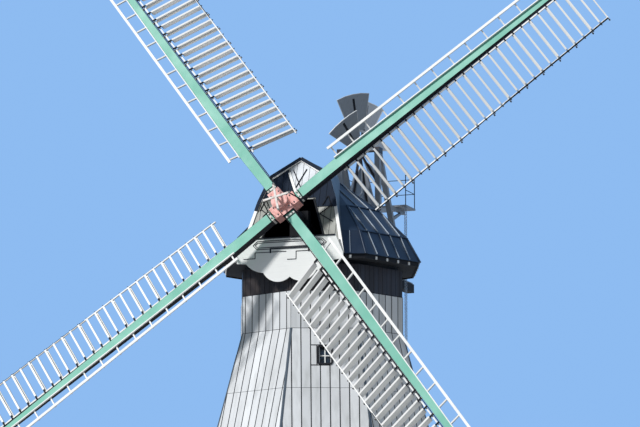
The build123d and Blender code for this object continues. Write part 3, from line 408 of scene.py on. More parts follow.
def raise_faces(piece, groove, depth, seed):
    """Inset each face and raise it, so that grooves stay between, and give each its own tone."""
    bpy.ops.mesh.select_all(action="SELECT")
    bpy.ops.mesh.inset(thickness=groove / 2, depth=depth, use_individual=True)
    mesh = bmesh.from_edit_mesh(piece.data)
    raised = {face.index for face in mesh.faces if face.select}
    bpy.ops.object.mode_set(mode="OBJECT")
    dress(piece, *PANEL_FINISHES)
    tones = piece.data.attributes.new("tone", "FLOAT", "FACE")
    draw = random.Random(seed)
    values = []
    for face in piece.data.polygons:
        face.material_index = 0 if face.index in raised else 1
        values.append(draw.random())
    tones.data.foreach_set("value", values)
    return piece


def lines_between(low, high, pitch, shift=0.0):
    """Even lines either side of the middle, between two limits."""
    count = int((high - low) / pitch) + 2
    spots = [shift + pitch * (number + 0.5) for number in range(-count, count)]
    return [spot for spot in spots if low < spot < high]


def panel(outline, pitch, groove, depth, seed, shift=0.0, holes=()):
    """A sheet of even upright boards, with grooves between them and holes by cut_hole."""
    piece = flat_sheet(outline)
    widest = max(abs(point[0]) for point in outline)
    bpy.ops.object.mode_set(mode="EDIT")
    for value in lines_between(-widest, widest, pitch, shift):
        cut(piece, 0, value)
    for box in holes:
        cut_hole(piece, box)
    return raise_faces(piece, groove, depth, seed)


# Helpers on materials

class Paint:
    """A material under construction."""

    def __init__(self, name):
        self.material = bpy.data.materials.new(name)
        self.material.use_nodes = True
        self.tree = self.material.node_tree
        self.shader = self.tree.nodes["Principled BSDF"]
        self.place = self.node("ShaderNodeTexCoord").outputs["Object"]

    def node(self, kind, settings=None, inputs=None):
        """Add any node, with its settings first and then its sockets."""
        node = self.tree.nodes.new(kind)
        for name, value in (settings or {}).items():
            setattr(node, name, value)
        for key, value in (inputs or {}).items():
            self.feed(node.inputs[key], value)
        return node

    def feed(self, socket, value):
        """Link a socket to another, or give it a value; a colour may leave out its alpha."""
        if isinstance(value, bpy.types.NodeSocket):
            self.tree.links.new(value, socket)
        elif socket.type == "RGBA" and len(value) == 3:
            socket.default_value = (*value, 1.0)
        else:
            socket.default_value = value

    def noise(self, scale, stretch=(1, 1, 1), detail=3.0, seed=0.0):
        """Cloudy noise between 0 and 1, drawn out where a stretch is small."""
        spot = self.node("ShaderNodeMapping", None, {"Vector": self.place, "Location": (seed, seed, seed),
                                                     "Scale": stretch})
        cloud = self.node("ShaderNodeTexNoise", None, {"Vector": spot.outputs[0], "Scale": scale,
                                                       "Detail": detail})
        return cloud.outputs["Fac"]

    def ramp(self, value, low, high, to_low=0.0, to_high=1.0):
        """The value between two limits, mapped to two others and clamped."""
        node = self.node("ShaderNodeMapRange", {"clamp": True}, {
            "Value": value, "From Min": low, "From Max": high, "To Min": to_low, "To Max": to_high})
        return node.outputs[0]

    def mix(self, share, first, second, blend="MIX"):
        """A colour between two others."""
        node = self.node("ShaderNodeMix", {"data_type": "RGBA", "blend_type": blend})
        self.feed(node.inputs[0], share)
        self.feed(node.inputs[6], first)
        self.feed(node.inputs[7], second)
        return node.outputs[2]

    def attribute(self, name):
        return self.node("ShaderNodeAttribute", {"attribute_name": name}).outputs["Fac"]

    def finish(self, colour, roughness=0.5, metallic=0.0, bump=None, strength=0.3, distance=0.01):
        self.feed(self.shader.inputs["Base Color"], colour)
        self.feed(self.shader.inputs["Roughness"], roughness)
        self.feed(self.shader.inputs["Metallic"], metallic)
        if bump is not None:
            lift = self.node("ShaderNodeBump", None, {"Strength": strength, "Distance": distance,
                                                      "Height": bump})
            self.feed(self.shader.inputs["Normal"], lift.outputs[0])
        return self.material


def shade(colour, factor):
    return tuple(min(1.0, channel * factor) for channel in colour)


GRAIN = (1, 1, 0.08)
RUST = (0.16, 0.06, 0.03)


def painted_wood(name, colour, wear=0.25, grain=GRAIN, dirt=None, roughness=0.5):
    """Painted timber with faded patches, fine grain and grime."""
    paint = Paint(name)
    cloud = paint.noise(1.3, detail=4)
    streak = paint.noise(26, grain, detail=4, seed=3.0)
    worn = paint.ramp(cloud, 0.35, 0.7, 0, wear)
    tone = paint.mix(worn, colour, shade(colour, 0.86))
    tone = paint.mix(paint.ramp(streak, 0.5, 0.75, 0, wear), tone, dirt or shade(colour, 0.6))
    gloss = paint.ramp(cloud, 0.3, 0.7, roughness - 0.08, roughness + 0.1)
    return paint.finish(tone, gloss, bump=streak, strength=0.25, distance=0.004)


def boarding(name, colour, dirt, spread=0.16):
    """Upright boards: each with its own tone, rain streaks and patches of dirt."""
    paint = Paint(name)
    tone = paint.attribute("tone")
    streak = paint.noise(5, (1, 1, 0.06), detail=5)
    grain = paint.noise(60, (1, 1, 0.05), detail=3, seed=5.0)
    patch = paint.noise(0.7, detail=3, seed=9.0)
    base = paint.mix(tone, colour, shade(colour, 1 - spread))
    base = paint.mix(paint.ramp(streak, 0.48, 0.78, 0, 0.45), base, dirt)
    base = paint.mix(paint.ramp(patch, 0.5, 0.75, 0, 0.2), base, dirt)
    return paint.finish(base, paint.ramp(streak, 0.3, 0.7, 0.5, 0.72), bump=grain, strength=0.3,
                        distance=0.004)


def brick(name, colour):
    """Fired brick, each with its own tone, with a rough skin and pale bloom."""
    paint = Paint(name)
    tone = paint.attribute("tone")
    rough = paint.noise(45, detail=5)
    bloom = paint.noise(1.1, detail=3, seed=4.0)
    base = paint.mix(tone, shade(colour, 1.2), shade(colour, 0.55))
    base = paint.mix(paint.ramp(rough, 0.45, 0.75, 0, 0.35), base, shade(colour, 0.4))
    base = paint.mix(paint.ramp(bloom, 0.55, 0.8, 0, 0.3), base, (0.55, 0.5, 0.45))
    return paint.finish(base, 0.85, bump=rough, strength=0.6, distance=0.006)


def plain_rough(name, colour, roughness=0.9):
    paint = Paint(name)
    rough = paint.noise(30, detail=4)
    base = paint.mix(paint.ramp(rough, 0.3, 0.7), colour, shade(colour, 0.7))
    return paint.finish(base, roughness, bump=rough, strength=0.4, distance=0.005)


def roof_sheet(name, colour, pale):
    """Painted or leaded sheet, with a dull bloom that follows the rain."""
    paint = Paint(name)
    cloud = paint.noise(0.9, detail=5)
    run = paint.noise(4, (1, 1, 0.15), detail=4, seed=6.0)
    dent = paint.noise(2.2, detail=1, seed=2.0)
    base = paint.mix(paint.ramp(cloud, 0.4, 0.72, 0, 0.6), colour, pale)
    base = paint.mix(paint.ramp(run, 0.5, 0.8, 0, 0.35), base, shade(pale, 1.3))
    return paint.finish(base, paint.ramp(cloud, 0.3, 0.7, 0.38, 0.55), 0.35, bump=dent, strength=0.2,
                        distance=0.02)


def painted_iron(name, colour, rust=RUST, share=0.5, metallic=0.2):
    """Painted cast iron with rust coming through."""
    paint = Paint(name)
    patch = paint.noise(9, detail=6)
    skin = paint.noise(70, detail=3, seed=8.0)
    base = paint.mix(paint.ramp(patch, 0.55, 0.66, 0, share), colour, rust)
    return paint.finish(base, paint.ramp(patch, 0.4, 0.7, 0.45, 0.8), metallic, bump=skin, strength=0.3,
                        distance=0.003)


def window_glass(name):
    paint = Paint(name)
    cloud = paint.noise(3, detail=2)
    base = paint.mix(paint.ramp(cloud, 0.3, 0.7), (0.010, 0.014, 0.018), (0.03, 0.04, 0.05))
    return paint.finish(base, 0.08)


MATERIALS = {}
PANEL_FINISHES = ("white_boards", "board_joint")


def make_materials(colours):
    """All finishes, by the names that the operators use."""
    upright = (1, 1, 0.1)
    rows = (
        (plain_rough, "mortar", (0.40, 0.37, 0.33)),
        (boarding, "white_boards", colours.tower, (0.33, 0.34, 0.33)),
        (plain_rough, "board_joint", (0.012, 0.013, 0.018)),
        (boarding, "dark_boards", colours.band, (0.012, 0.009, 0.008), 0.4),
        # Very dark joints of the band, door and gable boards; also painted shade on the rings under the
        # eaves
        (plain_rough, "dark_joint", (0.006, 0.005, 0.005)),
        (painted_wood, "green_wood", colours.stock, 0.16, GRAIN, (0.30, 0.48, 0.40)),
        (painted_wood, "white_wood", colours.frame, 0.16, GRAIN, (0.55, 0.54, 0.48)),
        (painted_wood, "bright_wood", (0.90, 0.89, 0.86), 0.08, GRAIN, (0.70, 0.66, 0.60)),
        (painted_wood, "grey_wood", colours.stage, 0.35, GRAIN, (0.16, 0.17, 0.18)),
        (painted_wood, "board_white", colours.front_board, 0.14, (0.1, 1, 1)),
        (painted_wood, "plain_wood", (0.24, 0.17, 0.11), 0.5, GRAIN, None, 0.7),
        (painted_wood, "shutter", colours.shutter, 0.14, GRAIN, (0.68, 0.56, 0.48)),
        (roof_sheet, "roof_sheet", colours.roof, (0.022, 0.034, 0.052)),
        # A light sheet colour for the standing seams: a painted highlight of the sun's sheen along them
        (roof_sheet, "seam", (0.34, 0.39, 0.44), (0.50, 0.54, 0.58)),
        (roof_sheet, "grey_sheet", (0.07, 0.085, 0.10), (0.15, 0.17, 0.18)),
        (painted_iron, "red_iron", colours.poll, (0.36, 0.13, 0.10), 0.4, 0.0),
        (painted_iron, "grey_iron", (0.035, 0.037, 0.042)),
        (window_glass, "pane"),
        (painted_iron, "chain", (0.34, 0.36, 0.38), RUST, 0.3, 0.7),
        (painted_wood, "gable_panel", (0.27, 0.27, 0.23), 0.4, upright),
        # Very dark navy: the roof's own colour on the gable caps, and painted shadow on the gable cheeks
        (plain_rough, "navy_boards", (0.010, 0.019, 0.038), 0.95),
        (painted_wood, "pale_boards", (0.60, 0.63, 0.66), 0.15, upright),
        # Very dark paint and iron; also painted shade on the stocks' sides, under the eaves and in the
        # cap's opening
        (plain_rough, "black", (0.010, 0.010, 0.012), 0.95),
        (painted_wood, "pale_edge", (0.62, 0.64, 0.66), 0.2),
        (painted_iron, "white_iron", (0.70, 0.66, 0.61), (0.45, 0.18, 0.12), 0.3, 0.0),
    )
    MATERIALS.update({name: make(name, *values) for make, name, *values in rows})
    MATERIALS["brick"] = brick("brickwork", colours.brick)


def dress(piece, *names):
    """Put these finishes on a piece, in slot order; faces keep their slots."""
    slots = piece.data.materials
    for number, name in enumerate(names):
        if number < len(slots):
            slots[number] = MATERIALS[name]
        else:
            slots.append(MATERIALS[name])
    return piece


def done(piece, body, slot, *names, replaces=()):
    """Finish a piece: its materials and the body it moves with; the slot argument is not used."""
    dress(piece, *names)
    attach(piece, body)
    if replaces:
        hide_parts(*replaces)
    return piece


# Settings

class MillColours(bpy.types.PropertyGroup):
    tower: FloatVectorProperty(name="Tower", description="Upright boards of the tower", subtype="COLOR",
                               size=3, default=(0.78, 0.79, 0.80))
    band: FloatVectorProperty(name="Band", description="Boards under the cap", subtype="COLOR", size=3,
                              default=(0.022, 0.012, 0.009))
    stock: FloatVectorProperty(name="Stocks", description="Stocks of the sails", subtype="COLOR", size=3,
                               default=(0.150, 0.47, 0.345))
    frame: FloatVectorProperty(name="Sail frames", description="Bars and battens of the sails",
                               subtype="COLOR", size=3, default=(0.86, 0.85, 0.82))
    shutter: FloatVectorProperty(name="Shutters", description="Shutters of the sails", subtype="COLOR",
                                 size=3, default=(0.86, 0.85, 0.83))
    roof: FloatVectorProperty(name="Roof", description="Sheets of the cap", subtype="COLOR", size=3,
                              default=(0.009, 0.018, 0.036))
    poll: FloatVectorProperty(name="Poll end", description="Casting that holds the stocks",
                              subtype="COLOR", size=3, default=(0.80, 0.40, 0.35))
    front_board: FloatVectorProperty(name="Front board", description="Scalloped board under the gable",
                                     subtype="COLOR", size=3, default=(0.88, 0.88, 0.85))
    stage: FloatVectorProperty(name="Stage", description="Posts and stages of the fan", subtype="COLOR",
                               size=3, default=(0.30, 0.33, 0.37))
    brick: FloatVectorProperty(name="Brick", description="Bricks of the base", subtype="COLOR", size=3,
                               default=(0.30, 0.115, 0.070))


class MillSizes(bpy.types.PropertyGroup):
    board_pitch: FloatProperty(name="Tower board", description="Width of a tower board", default=0.29,
                               unit="LENGTH")
    board_groove: FloatProperty(name="Tower groove", description="Gap between tower boards",
                                default=0.034, unit="LENGTH")
    board_proud: FloatProperty(name="Board thickness", description="How far boards stand out",
                               default=0.014, unit="LENGTH")
    band_pitch: FloatProperty(name="Band board", description="Width of a board in the band",
                              default=0.20, unit="LENGTH")
    brick_length: FloatProperty(name="Brick length", description="Length of a brick and its joint",
                                default=0.25, unit="LENGTH")
    brick_height: FloatProperty(name="Brick height", description="Height of a brick and its joint",
                                default=0.075, unit="LENGTH")
    seam_pitch: FloatProperty(name="Seam spacing", description="Distance between standing seams",
                              default=0.50, unit="LENGTH")
    seam_height: FloatProperty(name="Seam height", description="Height of a standing seam",
                               default=0.035, unit="LENGTH")
    world_light: FloatProperty(name="World light", description="Strength of the soft light",
                               default=0.30, min=0)
    sun_light: FloatProperty(name="Sun light", description="Strength of the main lamp", default=3.3, min=0)


# Operators

class MillOperator(bpy.types.Operator):
    """Base of the operators here."""

    bl_options = {"REGISTER", "UNDO"}


# Finishes of solids that differ from their slot's own
NODE_FINISHES = {node: finish for finish, nodes in {
    "board_white": ("front_board", "glazing_bars"),
    "gable_panel": ("gable_wall",),
    # Very dark: the window frames are dark paint; the eaves soffit and fascia, the front beam and the shaft
    # bearings are painted shade, under the eaves and in the cap's shaded opening
    "black": ("window_frames", "eaves_soffit", "eaves_fascia", "front_beam", "striking_gear",
              "shaft_bearings", "shaft_beams", "sheer_beams"),
    # The cap ring, curb ring and curb band are very dark as painted shade under the eaves
    "dark_joint": ("cap_ring", "curb_ring", "curb_band"),
    "grey_wood": ("fan_posts", "fan_stage", "upper_platform", "fan_blades"),
    "mortar": ("base_walls_front_and_back", "base_walls_right_and_left"),
    "board_joint": ("board_mouldings", "smock_walls_plain", "smock_walls_with_windows", "collar_walls"),
    "white_iron": ("striking_cross",),
    "grey_sheet": ("corner_boards",),
}.items() for node in nodes}


class MILL_OT_materials(MillOperator):
    """Make every finish and put it on the solids"""

    bl_idname = "mill.materials"
    bl_label = "Finishes"

    def execute(self, context):
        make_materials(context.scene.mill_colours)
        for row in frame["record"]["subparts"]:
            node = NODES[row["node"]]
            name = NODE_FINISHES.get(row["node"], row["material_slot"])
            for slot in node.material_slots:
                slot.material = MATERIALS[name]
        return {"FINISHED"}


def tapered(bottom_radius, top_radius, slope_height, margin=0.0):
    """Outline of a facet that narrows upward, with its foot on the X axis."""
    foot, head = (radius * FACET_COS * FACET_TAN - margin for radius in (bottom_radius, top_radius))
    return [(-foot, 0), (foot, 0), (head, slope_height), (-head, slope_height)]


SMOCK_RUN = (SMOCK_FOOT_RADIUS - COLLAR_RADIUS) * FACET_COS
SMOCK_LEAN = math.atan2(SMOCK_RUN, COLLAR_FOOT - SMOCK_FOOT)
SMOCK_SLOPE = math.hypot(SMOCK_RUN, COLLAR_FOOT - SMOCK_FOOT)
SMOCK_TAPER = math.atan2(SMOCK_RUN * FACET_TAN, SMOCK_SLOPE)


class MILL_OT_tower_boards(MillOperator):
    """Nail upright boards on the tower"""

    bl_idname = "mill.tower_boards"
    bl_label = "Tower boards"

    def execute(self, context):
        sizes = context.scene.mill_sizes
        half_wide, half_high = (0.5 * side + WINDOW_PLAY for side in WINDOW_SIZE)
        finish = (sizes.board_pitch, sizes.board_groove, sizes.board_proud)
        rise = TOWER_TOP - COLLAR_FOOT + COLLAR_LAP
        pieces, laps = [], []
        for number in range(SIDES):
            shift = BOARD_SHIFT * (number % 3)
            rows = WINDOW_ROWS if number in WINDOW_FACETS else ()
            middles = [(height - SMOCK_FOOT) / math.cos(SMOCK_LEAN) for height in rows]
            holes = [(-half_wide, middle - half_high, half_wide, middle + half_high) for middle in middles]
            outline = tapered(SMOCK_FOOT_RADIUS, COLLAR_RADIUS, SMOCK_SLOPE, FACET_MARGIN)
            place = facet_frame(number, SMOCK_FOOT, SMOCK_FOOT_RADIUS, SMOCK_LEAN)
            pieces.append(placed(panel(outline, *finish, number, shift, holes), place))
            for reach in LAP_REACHES:
                half = outline[1][0] - reach * math.tan(SMOCK_TAPER) - 0.02
                laps.append(placed(block((2 * half, *LAP_SIZE), (0, reach, sizes.board_proud)), place))
            outline = tapered(COLLAR_RADIUS, COLLAR_RADIUS, rise)
            sheet = panel(outline, *finish, COLLAR_SEED + number, shift)
            pieces.append(placed(sheet, facet_frame(number, COLLAR_FOOT - COLLAR_LAP, COLLAR_RADIUS)))
        done(joined("tower_boards", pieces), "tower", "white_boards", "white_boards", "board_joint")
        done(joined("board_laps", laps), "tower", "white_boards", "board_joint")
        return {"FINISHED"}


class MILL_OT_band_boards(MillOperator):
    """Nail dark boards round the band under the cap"""

    bl_idname = "mill.band_boards"
    bl_label = "Band boards"

    def execute(self, context):
        sizes = context.scene.mill_sizes
        pieces = []
        for number in range(SIDES):
            outline = tapered(BAND_RADIUS, BAND_RADIUS, BAND_TOP - TOWER_TOP)
            sheet = panel(outline, sizes.band_pitch, 0.014, sizes.board_proud, BAND_SEED + number)
            pieces.append(placed(sheet, facet_frame(number, TOWER_TOP, BAND_RADIUS)))
        done(joined("band_boards", pieces), "tower", "dark_boards", "dark_boards", "dark_joint")
        return {"FINISHED"}


class MILL_OT_brickwork(MillOperator):
    """Lay the bricks of the base"""

    bl_idname = "mill.brickwork"
    bl_label = "Brickwork"

    def execute(self, context):
        sizes = context.scene.mill_sizes
        pieces = []
        course = sizes.brick_height
        levels = [course * number for number in range(1, int(BASE_TOP / course) + 1)]
        for number in range(SIDES):
            outline = tapered(BASE_RADIUS, BASE_RADIUS, BASE_TOP)
            widest = outline[1][0]
            sheet = flat_sheet(outline)
            bpy.ops.object.mode_set(mode="EDIT")
            for level in levels:
                cut(sheet, 1, level)
            for odd in (0, 1):
                in_course = lambda middle: int(middle.y / course) % 2 == odd
                shift = odd * sizes.brick_length / 2
                for spot in lines_between(-widest, widest, sizes.brick_length, shift):
                    cut(sheet, 0, spot, in_course)
            if number in BASE_WINDOW_FACETS:
                half_wide, half_high = (0.5 * side + BRICK_PLAY for side in WINDOW_SIZE)
                cut_hole(sheet, (-half_wide, BASE_WINDOW_HEIGHT - half_high, half_wide,
                                 BASE_WINDOW_HEIGHT + half_high))
            if number == DOOR_FACET:
                half = DOOR_SIZE[0] / 2
                cut_hole(sheet, (-half, -0.01 + THRESHOLD, half, THRESHOLD + DOOR_SIZE[1]))
            raise_faces(sheet, 0.012, 0.006, BRICK_SEED + number)
            pieces.append(placed(sheet, facet_frame(number, 0.0, BASE_RADIUS)))
        done(joined("bricks", pieces), "tower", "brick", "brick", "mortar")
        return {"FINISHED"}


class MILL_OT_roof_seams(MillOperator):
    """Fold standing seams on the roof"""

    bl_idname = "mill.roof_seams"
    bl_label = "Roof seams"

    def execute(self, context):
        sizes = context.scene.mill_sizes
        seams = []
        for low, high in zip(ROOF_RINGS, ROOF_RINGS[1:]):
            foot, head = (radius * FACET_COS for radius, height in (low, high))
            rise = high[1] - low[1]
            lean = math.atan2(foot - head, rise)
            slope = math.hypot(foot - head, rise)
            for number in range(SIDES):
                place = facet_frame(number, low[1], low[0], lean)
                wide, narrow = foot * FACET_TAN, head * FACET_TAN
                for spot in lines_between(-wide + SEAM_MARGIN, wide - SEAM_MARGIN, sizes.seam_pitch):
                    reach = slope if abs(spot) < narrow else slope * (wide - abs(spot)) / (wide - narrow)
                    if number in GABLE_FACETS and self.under_gable(place, spot, reach):
                        continue
                    strip = block((SEAM_WIDTH, max(reach - 2 * SEAM_END, 0.05), sizes.seam_height),
                                  (spot, reach / 2, sizes.seam_height / 2), 0.004)
                    seams.append(placed(strip, place))
        # The seams' light colour is a painted highlight of the sun's sheen along them
        done(joined("roof_seams", seams), "cap", "roof_sheet", "seam")
        return {"FINISHED"}

    def under_gable(self, place, spot, reach):
        middle = place @ Vector((spot, reach / 2, 0))
        return abs(middle.x) < GABLE_SPAN and middle.y < 0


class MILL_OT_sail_gear(MillOperator):
    """Put the dark sides (dark paint and painted shade), pins, plates and straps on the sails"""

    bl_idname = "mill.sail_gear"
    bl_label = "Sail gear"

    def execute(self, context):
        arms = [arm_frame(number) for number in range(4)]
        # The stocks' sides are very dark: painted shade on the leading side, dark paint and painted shade
        # on the trailing side
        done(self.on_arms("stock_dark_and_shaded_sides", arms, self.dark_and_shaded_sides), "sails", "grey_iron", "black")
        done(joined("hem_irons", [self.hem_pins(arms), self.bar_tips(arms)]), "sails", "grey_iron", "black")
        done(self.end_plates(arms), "sails", "grey_iron", "black")
        done(self.nosings(arms), "sails", "shutter", "bright_wood")
        done(self.on_arms("hem_strips", arms, self.hem_strips), "sails", "grey_iron", "black")
        done(self.on_arms("dark_straps", arms, self.strap, *DARK_STRAP), "sails", "grey_iron", "black")
        # The very dark sleeves on the sockets are partly painted shade: they are made long enough to stand
        # for the shade on the poll end's sockets
        sleeve = block((SLEEVE[1], 2 * SOCKET_HALF, 2 * SOCKET_HALF), (SLEEVE[0], 0, 0), 0.006)
        done(copies(named(sleeve, "socket_sleeves"), arms), "sails", "grey_iron", "black")
        done(self.on_arms("pale_straps", arms, self.strap, *PALE_STRAP), "sails", "grey_iron", "white_iron")
        done(self.bolts(arms), "sails", "grey_iron", "grey_iron")
        return {"FINISHED"}

    def on_arms(self, name, arms, make, *sizes):
        """One piece of all that make yields, made anew for each arm."""
        return joined(name, [placed(part, arm) for arm in arms for part in make(*sizes)])

    def dark_and_shaded_sides(self):
        """Very dark strips on the sides of a stock, as thin tapering boards: painted shade on the leading
        side, dark paint and painted shade on the trailing side.
        """
        for near, far in zip(STOCK_SECTIONS, STOCK_SECTIONS[1:]):
            for side, column in ((1, 1), (-1, 2)):
                ends = [(section[0], side * (section[column] + PAINT_PROUD), 0) for section in (near, far)]
                yield tapered_bar(*ends, (2 * PAINT_PROUD, near[3]), (2 * PAINT_PROUD, far[3]))

    def hem_strips(self):
        """Dark iron on the outer half of the hem's front and along its outer edge."""
        near, far = FRAME_ENDS
        for lateral, forward, width, height in HEM_IRON:
            ends = [on_bar(distance, lateral, forward) for distance in (near + 0.02, far - 0.02)]
            yield bar(*ends, width, height)

    def nosings(self, arms):
        """A flat lath along the front edge of each shutter."""
        reach = SHUTTER_CHORD / 2 - 0.004
        edge = Vector((math.cos(SHUTTER_OPEN), 0, math.sin(SHUTTER_OPEN))) * reach
        laths = []
        for distance in SHUTTER_SPOTS:
            start = -stock_size(distance, 2) - SHUTTER_START
            ends = [on_bar(distance, lateral) + edge for lateral in (start, -SHUTTER_HEM)]
            laths.append(bar(*ends, *LATH_SIZE, bevel=0.003))
        return copies(joined("shutter_nosings", laths), arms)

    def hem_pins(self, arms):
        pin = rod((0, 0, 0), (0, -0.04, 0), 0.017, 8)
        lateral = -HEM_OFFSET - 0.018
        return copies(pin, [arm @ Matrix.Translation(on_bar(distance, lateral, 0.058))
                            for arm in arms for distance in SHUTTER_SPOTS])

    def bar_tips(self, arms):
        """Dark iron on the ends of the sail bars beyond the hem."""
        tip = block((0.046, 0.03, 0.064), bevel=0.004)
        spots = [FIRST_BAR + BAY * number for number in range(BAYS + 1)]
        return copies(tip, [arm @ Matrix.Translation(on_bar(distance, -HEM_OFFSET - 0.055))
                            for arm in arms for distance in spots])

    def end_plates(self, arms):
        """A plate on each shutter's inner end, up to its lever."""
        plate = named(block((0.05, 0.010, 0.17), bevel=0.003), "shutter_end_plates")
        places = []
        for distance in SHUTTER_SPOTS:
            lateral = -stock_size(distance, 2) - SHUTTER_START + 0.007
            places.append(Matrix.Translation(on_bar(distance, lateral, LEVER_FORWARD - 0.085)))
        return copies(plate, [arm @ place for arm in arms for place in places])

    def strap(self, distance, width):
        """A flat iron band round a stock."""
        lead, trail, depth = (stock_size(distance, column) for column in (1, 2, 3))
        yield block((width, lead + trail + 2 * STRAP_PROUD, depth + 2 * STRAP_PROUD),
                    (distance, (lead - trail) / 2, 0), 0.004)

    def bolts(self, arms):
        """Bolt heads on the sockets of the poll end, on the straps and on the arms of the cross."""
        head = named(rod((0, 0, 0), (0, 0, 0.022), 0.024, 6), "sail_bolts")
        places = [arm @ Matrix.Translation(place) for arm in arms for place in SOCKET_BOLTS + STRAP_BOLTS]
        places += [arm_frame(number, 0) @ Matrix.Translation(CROSS_BOLT) for number in range(4)]
        return copies(head, places)


GABLE = turn_frame((0, *GABLE_FOOT), (1, 0, 0), (0, -math.cos(GABLE_LEAN), math.sin(GABLE_LEAN)))


def on_gable(x, z, proud=0.0):
    """A point of the leaning gable, from its place across and its height above the ground."""
    return Vector((x, (z - GABLE_FOOT[1]) / math.cos(GABLE_LEAN), proud))


def gable_half(z):
    """Half the gable's width here, inside the barge boards."""
    for high, low in zip(GABLE_SIDES, GABLE_SIDES[1:]):
        if z >= low[1]:
            break
    share = (high[1] - z) / (high[1] - low[1])
    return high[0] + share * (low[0] - high[0]) - 1.2 * BARGE_WIDTH


class MILL_OT_gable(MillOperator):
    """Board the gable and fix its rods and ridge caps"""

    bl_idname = "mill.gable"
    bl_label = "Gable"

    def execute(self, context):
        foot, head = OPENING
        edge, shoulder = GABLE_EDGE, RIGHT_SHOULDER
        elbow, brow = GABLE_SIDES[2][1], GABLE_SIDES[1][1]
        low = head[1] + edge
        right = [(foot[0] + edge, foot[1]), (gable_half(foot[1]), foot[1]),
                 (gable_half(shoulder), shoulder), (self.jamb(shoulder) + edge, shoulder)]
        left = [(-self.jamb(elbow) - edge, elbow), (-gable_half(elbow), elbow),
                (-gable_half(foot[1]), foot[1]), (-foot[0] - edge, foot[1])]
        sheets = [self.boards(outline, seed) for seed, outline in enumerate((right, left))]
        done(joined("gable_side_boards", sheets), "cap", "plain_wood", "gable_panel", "board_joint")
        top = [(-0.02, low), (0.35, low), (0.67, 14.12), (0.67, 14.26), (0.0, 14.60), (-0.36, 14.39)]
        top = named(self.boards(top, 5), "gable_top_boards")
        done(top, "cap", "plain_wood", "pale_boards", "board_joint")
        # The cheeks either side of the top boards are very dark navy: on the gable's left a painted shadow
        # of the stocks and sails; the cheek on the right has the same colour
        near = [(self.jamb(shoulder) + edge, shoulder), (gable_half(shoulder), shoulder),
                (gable_half(elbow), elbow), (gable_half(brow), brow), (0.69, 14.24), (0.69, 14.12),
                (0.37, low), (head[0] + edge, low)]
        far = [(-gable_half(low), low), (-0.04, low), (-0.38, 14.36), (-0.52, 14.33),
               (-gable_half(brow), brow)]
        cheeks = [self.boards(near, 6), self.boards(far, 7)]
        done(joined("gable_cheeks", cheeks), "cap", "roof_sheet", "navy_boards", "dark_joint")
        rods, caps = [], []
        for side in (-1, 1):
            rods += [placed(rod(*self.line(ends, 0.03, side), 0.014), GABLE) for ends in GABLE_RODS]
            rods.append(placed(bar(*self.line(OPENING, 0.02, side), 0.05, 0.04), GABLE))
        done(joined("gable_rods", rods), "cap", "grey_iron", "black")
        batten = placed(bar(*self.line(BATTEN_ENDS, 0.034), 0.08, 0.02, bevel=0.004), GABLE)
        done(named(batten, "gable_batten"), "cap", "white_wood", "board_white")
        for side in (-1, 1):
            caps += [placed(bar(*self.line(ends, 0.06, side), 0.11, 0.02, bevel=0.004), GABLE)
                     for ends in zip(CAP_LINE, CAP_LINE[1:])]
        done(joined("gable_caps", caps), "cap", "roof_sheet", "navy_boards")
        return {"FINISHED"}

    def line(self, ends, proud, side=1):
        """Two points of the gable, mirrored where side is -1."""
        return [on_gable(side * x, z, proud) for x, z in ends]

    def jamb(self, z):
        """Half the opening's width at this height."""
        foot, head = OPENING
        return foot[0] + (z - foot[1]) / (head[1] - foot[1]) * (head[0] - foot[0])

    def boards(self, outline, seed):
        points = [on_gable(x, z)[:2] for x, z in outline]
        return placed(panel(points, GABLE_BOARD, 0.014, 0.012, GABLE_SEED + seed), GABLE)


class MILL_OT_front_board(MillOperator):
    """Plant the thin mouldings on the scalloped board"""

    bl_idname = "mill.front_board"
    bl_label = "Front board"

    def execute(self, context):
        place = turn_frame((0, BOARD_FRONT, 0), (1, 0, 0), (0, -1, 0))
        strips = []
        for reach, half in BOARD_FRAMES:
            for side in (-1, 1):
                for rise in (-1, 1):
                    shoulder = (side * (reach - 1.1 * half), BOARD_MIDDLE + rise * half)
                    strips.append(self.strip((side * reach, BOARD_MIDDLE), shoulder))
                    if side > 0:
                        strips.append(self.strip((-shoulder[0], shoulder[1]), shoulder))
        for line in BOARD_STEPS:
            strips += [self.strip(start, end) for start, end in zip(line, line[1:])]
        strips = [placed(strip, place) for strip in strips]
        done(joined("board_lines", strips), "cap", "grey_wood", "board_joint")
        return {"FINISHED"}

    def strip(self, start, end):
        return bar((*start, 0.005), (*end, 0.005), 0.020, 0.012)


